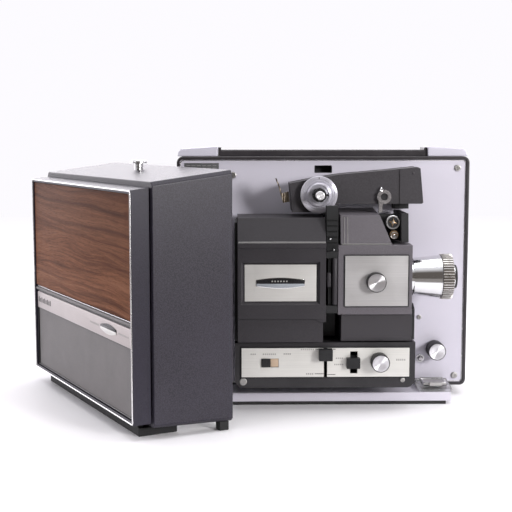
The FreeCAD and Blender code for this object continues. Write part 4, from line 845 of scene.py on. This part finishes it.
def lens_trim():
    """The barrel's end band, the ribbed ring, and the black rim round the front glass."""
    ring_lo, ring_hi = low("zoom_ring"), high("zoom_ring")
    r = (high("lens_barrel").z - low("lens_barrel").z) / 2
    place = at(0, LENS_Y, LENS_Z)
    x = ring_lo.x
    band = [(x - 1.2 * MM, r - 0.25 * MM), (x - 1.0 * MM, r + 0.1 * MM), (x - 0.45 * MM, r + 0.12 * MM),
            (x - 0.3 * MM, r - 0.25 * MM)]
    piece("lens_band", mesh_of(lathe(band, 128, "X"), 40), "lens", CHROME, place)
    width, per, outer = ring_hi.x - x, 8, 21.0 * MM

    def ribbed(step, radius):
        return radius - (0.85 * MM if step % per > 2 and radius > 20.0 * MM else 0.0)

    edge = [(0.0, 17.9), (0.05, 20.5), (0.35, 21.0), (width / MM - 0.9, 21.0), (width / MM - 0.3, 20.6),
            (width / MM, 19.8), (width / MM, 17.9), (width / MM - 0.3, 17.5)]
    edge = [(x + along * MM, q * MM) for along, q in edge]
    made = piece("ribbed_ring", mesh_of(lathe(edge, 52 * per, "X", sides=ribbed), 30), "zoom_ring", RING,
                 place)
    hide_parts("zoom_ring")
    front = high("lens_barrel").x
    rim = [(-1.9, 10.85), (0.02, 10.85), (0.12, 10.6), (0.1, 9.7), (-0.4, 9.45), (-1.9, 9.45)]
    rim = [(front + along * MM, q * MM) for along, q in rim]
    piece("lens_rim", mesh_of(lathe(rim, 96, "X"), 35), "lens", BLACK, place)


def reel_flange():
    """The stepped, turned flange and the notched black core with its bright nose, on the reel arm."""
    disc_lo, front = low("supply_disc"), low("supply_spindle").y
    c = middle("supply_disc")
    place = at(c.x, disc_lo.y, c.z)
    steps = [(4.6, 16.0), (4.4, 16.9), (2.6, 17.0), (2.0, 16.7), (1.8, 16.1), (1.8, 14.2), (2.25, 13.9),
             (2.25, 13.5), (1.9, 13.2), (2.5, 11.6), (2.5, 11.2), (0.6, 10.6), (0.1, 10.1), (0.0, 9.0),
             (0.9, 8.4), (1.2, 6.4)]
    made = spun("reel_flange", steps, "supply_reel_drive", DISC, place, 144, 30)
    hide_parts("supply_disc")
    place = at(c.x, front, c.z)

    def notched(step, radius):
        return radius - (0.9 * MM if step % 12 < 3 and radius > 6.0 * MM else 0.0)

    core = [(15.2, 5.9), (14.9, 6.3), (8.0, 6.3), (7.15, 6.15), (6.98, 5.7), (7.1, 4.9), (7.6, 4.4), (7.6, 3.9)]
    made = spun("reel_core", core, "supply_reel_drive", BLACK, place, crisp=35, sides=notched)
    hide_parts("supply_spindle")
    nose = [(8.0, 3.95), (1.2, 3.95), (0.4, 3.8), (0.05, 3.4), (0.0, 2.9), (0.1, 2.6), (0.45, 2.35), (0.6, 1.2),
            (0.62, 0.0)]
    spun("reel_nose", nose, "supply_reel_drive", NOSE, place)
    block("reel_key", (4.6 * MM, 9.6 * MM, -0.8 * MM), (8.5 * MM, 15.0 * MM, 0.8 * MM), 0.25 * MM,
          "supply_reel_drive", BLACK, place)
    mark = [(c.x - 0.35 * MM, c.x + 0.35 * MM, c.z + 14.3 * MM, c.z + 16.0 * MM)]
    piece("flange_mark", mesh_of(bars(mark, (disc_lo.y + 1.74 * MM, disc_lo.y + 1.95 * MM)), 40),
          "supply_reel_drive", INK)


def arm_cap():
    """The rivet near the outer end of the supply reel arm."""
    lo, hi = low("reel_arm"), high("reel_arm")
    slim = 0.45
    rivet = [(0.3, 3.0), (-0.35, 2.8), (-0.6, 2.0), (-0.65, 0.0)]
    spun("arm_rivet_outer", [(a, r * slim) for a, r in rivet], "reel_arm", ARM,
         at(hi.x - 9.5 * MM, lo.y, hi.z - 5.6 * MM), 32)


# ---------------------------------------------------------------- trimmer on the ledge
def trimmer_details():
    """Registration pins and a bright edge on the clear film trimmer."""
    lo, hi = low("film_trimmer_base"), high("film_trimmer_base")
    blade_lo, blade_hi = low("film_trimmer_blade"), high("film_trimmer_blade")
    ring = rounded_loop(blade_lo.x + 0.6 * MM, blade_hi.x - 0.6 * MM, blade_lo.y + 5.4 * MM, blade_hi.y - 3.6 * MM,
                        1.0 * MM, 0, 4)
    top = high("film_trimmer_blade").z - 1.2 * MM
    ring = [Vector((p.x, p.z, top)) for p in ring]
    wire("trimmer_frame", ring, 0.45 * MM, "trimmer_blade", SATIN, closed=True)
    for i, (x, y) in enumerate(((lo.x + 2.6 * MM, hi.y - 6 * MM), (hi.x - 2.6 * MM, hi.y - 6 * MM))):
        head = [(0.0, 1.3), (0.5, 1.2), (0.8, 0.7), (0.85, 0.0)]
        spun(f"trimmer_pin_{i + 1}", head, "projector", DULL, at(x, y, hi.z - 0.5 * MM), 32, axis="Z")


# ---------------------------------------------------------------- cover
def cover_size():
    """Half width, bottom and top of the cover's frame, in the cover's own axes."""
    flat = COVER.inverted()
    spots = [flat @ v.co for v in frame["nodes"]["cover_frame"].data.vertices]
    return max(p.x for p in spots), min(p.z for p in spots), max(p.z for p in spots)


def cover_panels():
    """The wood-grained panel, the rails under it, the nameplate strip and the bright bead round them."""
    half, bottom, top = cover_size()
    lo, hi = low("cover_wood_panel"), high("cover_wood_panel")
    edge = half - 3.6 * MM
    made = block("wood_panel", (-edge, 1.0 * MM, lo.z), (edge, 4.1 * MM, hi.z), 0.45 * MM, "cover", WOOD, COVER)
    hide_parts("cover_wood_panel")
    strip_top, strip_foot = high("cover_nameplate").z, low("cover_nameplate").z
    rails = (("wood_rail_bright", strip_top + 5.4 * MM, 0.35 * MM, TRIM, "trim_silver"),
             ("wood_rail_dark", strip_top + 3.0 * MM, 1.5 * MM, LOWER, "lower_grey"),
             ("strip_rail_dark", strip_top + 0.9 * MM, 0.5 * MM, BLACK, "control_black"))
    for name, z, r, finish, slot in rails:
        points = [Vector((-edge, 1.9 * MM, z)), Vector((edge, 1.9 * MM, z))]
        wire(name, points, r, "cover", finish, place=COVER)
    made = block("nameplate_strip", (-edge + 3.2 * MM, 1.0 * MM, strip_foot), (edge, 4.1 * MM, strip_top), 0.35 * MM,
                 "cover", STRIP, COVER)
    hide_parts("cover_nameplate")
    inset, thick = 0.85 * MM, 0.68 * MM
    bead = rounded_loop(-half + inset, half - inset, bottom + inset, top - 1.8 * MM - inset, 1.2 * MM, -0.1 * MM)
    made = wire("cover_bead", bead, thick, "cover", TRIM, closed=True, place=COVER)
    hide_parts("cover_trim")
    # Two-tone badge, and rows of plain dashes where a maker would print
    cx, cz = half - 57 * MM, (strip_top + strip_foot) / 2 + 0.4 * MM
    for part, finish, slot in (("upper", BADGE_DARK, "control_black"), ("lower", LAMP_FACE, "silver_face")):
        outline = barrel_outline(cx, cz, 19 * MM, 2.0 * MM, 4.6 * MM, part)
        piece("cover_badge_" + part, mesh_of(flat_shape(outline, 0.35 * MM, 1.1 * MM, 0.12 * MM), 40), "cover",
              finish, COVER)
    left = -edge + 6.5 * MM
    bold = [(left + 4.6 * i * MM, left + (4.6 * i + 2.6) * MM, cz - 2.6 * MM, cz + (1.6 if i % 2 else 2.6) * MM)
            for i in range(9)]
    faint = [(cx + side * (25 + 3.0 * i) * MM - 0.9 * MM, cx + side * (25 + 3.0 * i) * MM + 0.9 * MM, cz - 0.9 * MM,
              cz + 0.7 * MM) for side in (-1, 1) for i in range(8)]
    depth = (0.92 * MM, 1.05 * MM)
    piece("nameplate_dashes", mesh_of(bars(bold, depth)), "cover", INK, COVER)
    piece("nameplate_faint_dashes", mesh_of(bars(faint, depth)), "cover", FAINT_INK, COVER)


def cover_lower_recess():
    """The dark return round the lower panel."""
    half, bottom, _ = cover_size()
    foot = low("cover_nameplate").z
    edge = half - 4.2 * MM
    ring = rounded_loop(-edge, edge, bottom + 4.2 * MM, foot - 0.5 * MM, 1.0 * MM, 2.2 * MM, 4)
    wire("lower_panel_border", ring, 0.7 * MM, "cover", BLACK, closed=True, place=COVER)


def cover_inside():
    """Ribs and a soft lining inside the cover, seen from behind."""
    half, bottom, top = cover_size()
    depth0, depth1 = 20.6 * MM, 21.6 * MM
    block("cover_lining", (-half + 2 * MM, depth0, bottom + 2 * MM), (half - 2 * MM, depth1, top - 1 * MM), 0.4 * MM,
          "cover", LINING, COVER)
    ribs = [slab((x * MM - 1.2 * MM, depth1 - 0.1 * MM, bottom + 4 * MM), (x * MM + 1.2 * MM, depth1 + 5 * MM, top - 6 * MM),
                 0.5 * MM) for x in (-90, -45, 0, 45, 90)]
    piece("cover_ribs", mesh_of(joined(ribs), 40), "cover", PANEL, COVER)


# ---------------------------------------------------------------- rear
def rear_details():
    """Bright sleeves on the inlet's pins, and a plain rating plate on the case's back."""
    c, back = middle("power_inlet"), high("case_shell").y
    for i, dx in enumerate((-5.0, 5.0)):
        pin = [(-9, 1.36), (-2.0, 1.36), (-1.3, 1.0), (-1.2, 0.0)]
        spun(f"inlet_pin_{i + 1}", pin, "projector", CHROME, at(c.x + dx * MM, back - 2.6 * MM, c.z), 32)
    left, foot = -60 * MM, 40 * MM
    block("rear_plate", (left, back - 0.1 * MM, foot), (left + 52 * MM, back + 0.35 * MM, foot + 26 * MM), 0.15 * MM,
          "projector", STRIP)
    rules = [(left + 4 * MM, left + (48 - 9 * (i % 2)) * MM, foot + (4 + 4 * i) * MM, foot + (4.8 + 4 * i) * MM)
             for i in range(5)]
    piece("rear_plate_lines", mesh_of(bars(rules, (back + 0.3 * MM, back + 0.4 * MM))), "projector", FAINT_INK)


# ---------------------------------------------------------------- studio
CAMERA_WHITE = (0.98, 0.965, 1.0)


def floor():
    """A pale sweep that fades to white in the distance; what metal sees of it in front is dimmer."""
    bm = bmesh.new()
    bmesh.ops.create_circle(bm, cap_ends=True, segments=96, radius=12.0)
    f = Finish("floor", 0.6, Specular_IOR_Level=0.2)
    cloud = f.noise(0.5, 3.0)
    pale = f.ramp(cloud, (0.3, (0.86, 0.85, 0.87)), (0.7, (0.89, 0.88, 0.90)))
    reach = f.add("ShaderNodeVectorMath", operation="LENGTH")
    f.feed(reach, 0, f.place)
    far = f.ramp(f.maths("MULTIPLY", reach.outputs["Value"], 0.3), (0.2, 0.0), (0.75, 1.0))
    rays = f.add("ShaderNodeLightPath")
    near = f.ramp(f.maths("ADD", f.maths("MULTIPLY", f.part("Y"), 2.0), 1.0), (0.34, 1.0), (0.48, 0.0))
    dim = f.maths("MULTIPLY", near, f.maths("SUBTRACT", 1.0, rays.outputs["Is Camera Ray"]))
    f.feed(f.shader, "Base Color", f.blend(dim, pale, (0.16, 0.15, 0.14)))
    glow = f.add("ShaderNodeEmission")
    f.feed(glow, "Color", f.blend(dim, CAMERA_WHITE, (0.10, 0.09, 0.08)))
    mixed = f.add("ShaderNodeMixShader")
    f.feed(mixed, 0, far)
    f.feed(mixed, 1, f.shader.outputs[0])
    f.feed(mixed, 2, glow.outputs[0])
    f.tree.links.new(mixed.outputs[0], f.tree.nodes["Material Output"].inputs["Surface"])
    made = bpy.data.objects.new("floor", mesh_of(bm))
    made.data.materials.append(f.material)
    bpy.context.scene.collection.objects.link(made)


def area_light(name, power, size, place, target, colour=(1, 1, 1)):
    data = bpy.data.lights.new(name, "AREA")
    data.energy, data.size, data.color = power, size, colour
    lamp = bpy.data.objects.new(name, data)
    bpy.context.scene.collection.objects.link(lamp)
    lamp.location = place
    lamp.rotation_euler = (Vector(target) - Vector(place)).to_track_quat("-Z", "Y").to_euler()


def studio():
    """A white sweep behind and overhead, a dark room in front, a key from the right and a soft fill."""
    world = bpy.data.worlds.new("studio")
    bpy.context.scene.world = world
    world.use_nodes = True
    g = Graph(world.node_tree, "Generated")
    up, along = g.part("Z"), g.part("Y")
    in_front = g.ramp(up, (0.50, (0.13, 0.115, 0.105)), (0.78, (0.95, 0.94, 0.97)))
    behind = g.ramp(up, (0.22, (3.4, 3.28, 3.45)), (0.70, (0.95, 0.94, 0.97)))
    back = g.add("ShaderNodeMapRange")
    g.feed(back, "Value", along)
    back.inputs["From Min"].default_value, back.inputs["From Max"].default_value = -0.35, 0.25
    room = g.blend(back.outputs["Result"], in_front, behind)
    rays = g.add("ShaderNodeLightPath").outputs["Is Camera Ray"]
    g.feed(g.tree.nodes["Background"], "Color", g.blend(rays, room, CAMERA_WHITE))
    target = (0.0, -0.03, 0.12)
    area_light("key", 30, 0.45, (1.15, -1.35, 0.55), target, (1.0, 0.985, 0.98))
    area_light("top", 16, 1.5, (0.1, -0.1, 1.9), target)
    area_light("left", 8, 0.9, (-1.6, -1.2, 0.8), target, (0.97, 0.98, 1.0))
    bpy.context.scene.view_settings.view_transform = "Standard"


def camera():
    data = bpy.data.cameras.new("camera")
    data.sensor_width = 36
    data.lens = 77.4
    seen = bpy.data.objects.new("camera", data)
    bpy.context.scene.collection.objects.link(seen)
    seen.location = (-0.0847, -1.0535, 0.2533)
    pitch, yaw = math.radians(6.3), math.radians(1.1)
    seen.rotation_euler = (math.pi / 2 - pitch, 0, -yaw)
    bpy.context.scene.camera = seen


# ---------------------------------------------------------------- all together
finish_cad_nodes()
soften_cad_nodes()
plate_lip()
rating_label()
catch_bezel()
button_collar()
for flutes, knob_name in ((40, "focus_knob"), (38, "speed_knob"), (38, "mode_knob")):
    knob(knob_name.replace("_knob", "_dial"), knob_name, knob_name, flutes)
lamp_badge()
housing_ridges()
plate_border("gate_plate_border", "gate_plate", "projector", BLACK, 0.6 * MM)
plate_border("control_face_border", "control_face", "projector", BLACK, 0.7 * MM)
guide_details()
control_marks()
switch_cap()
sprocket_face()
shoe_details()
latch_tip()
lens_trim()
reel_flange()
arm_cap()
trimmer_details()
cover_panels()
cover_lower_recess()
cover_inside()
rear_details()
floor()
studio()
camera()

bpy.context.view_layer.update()
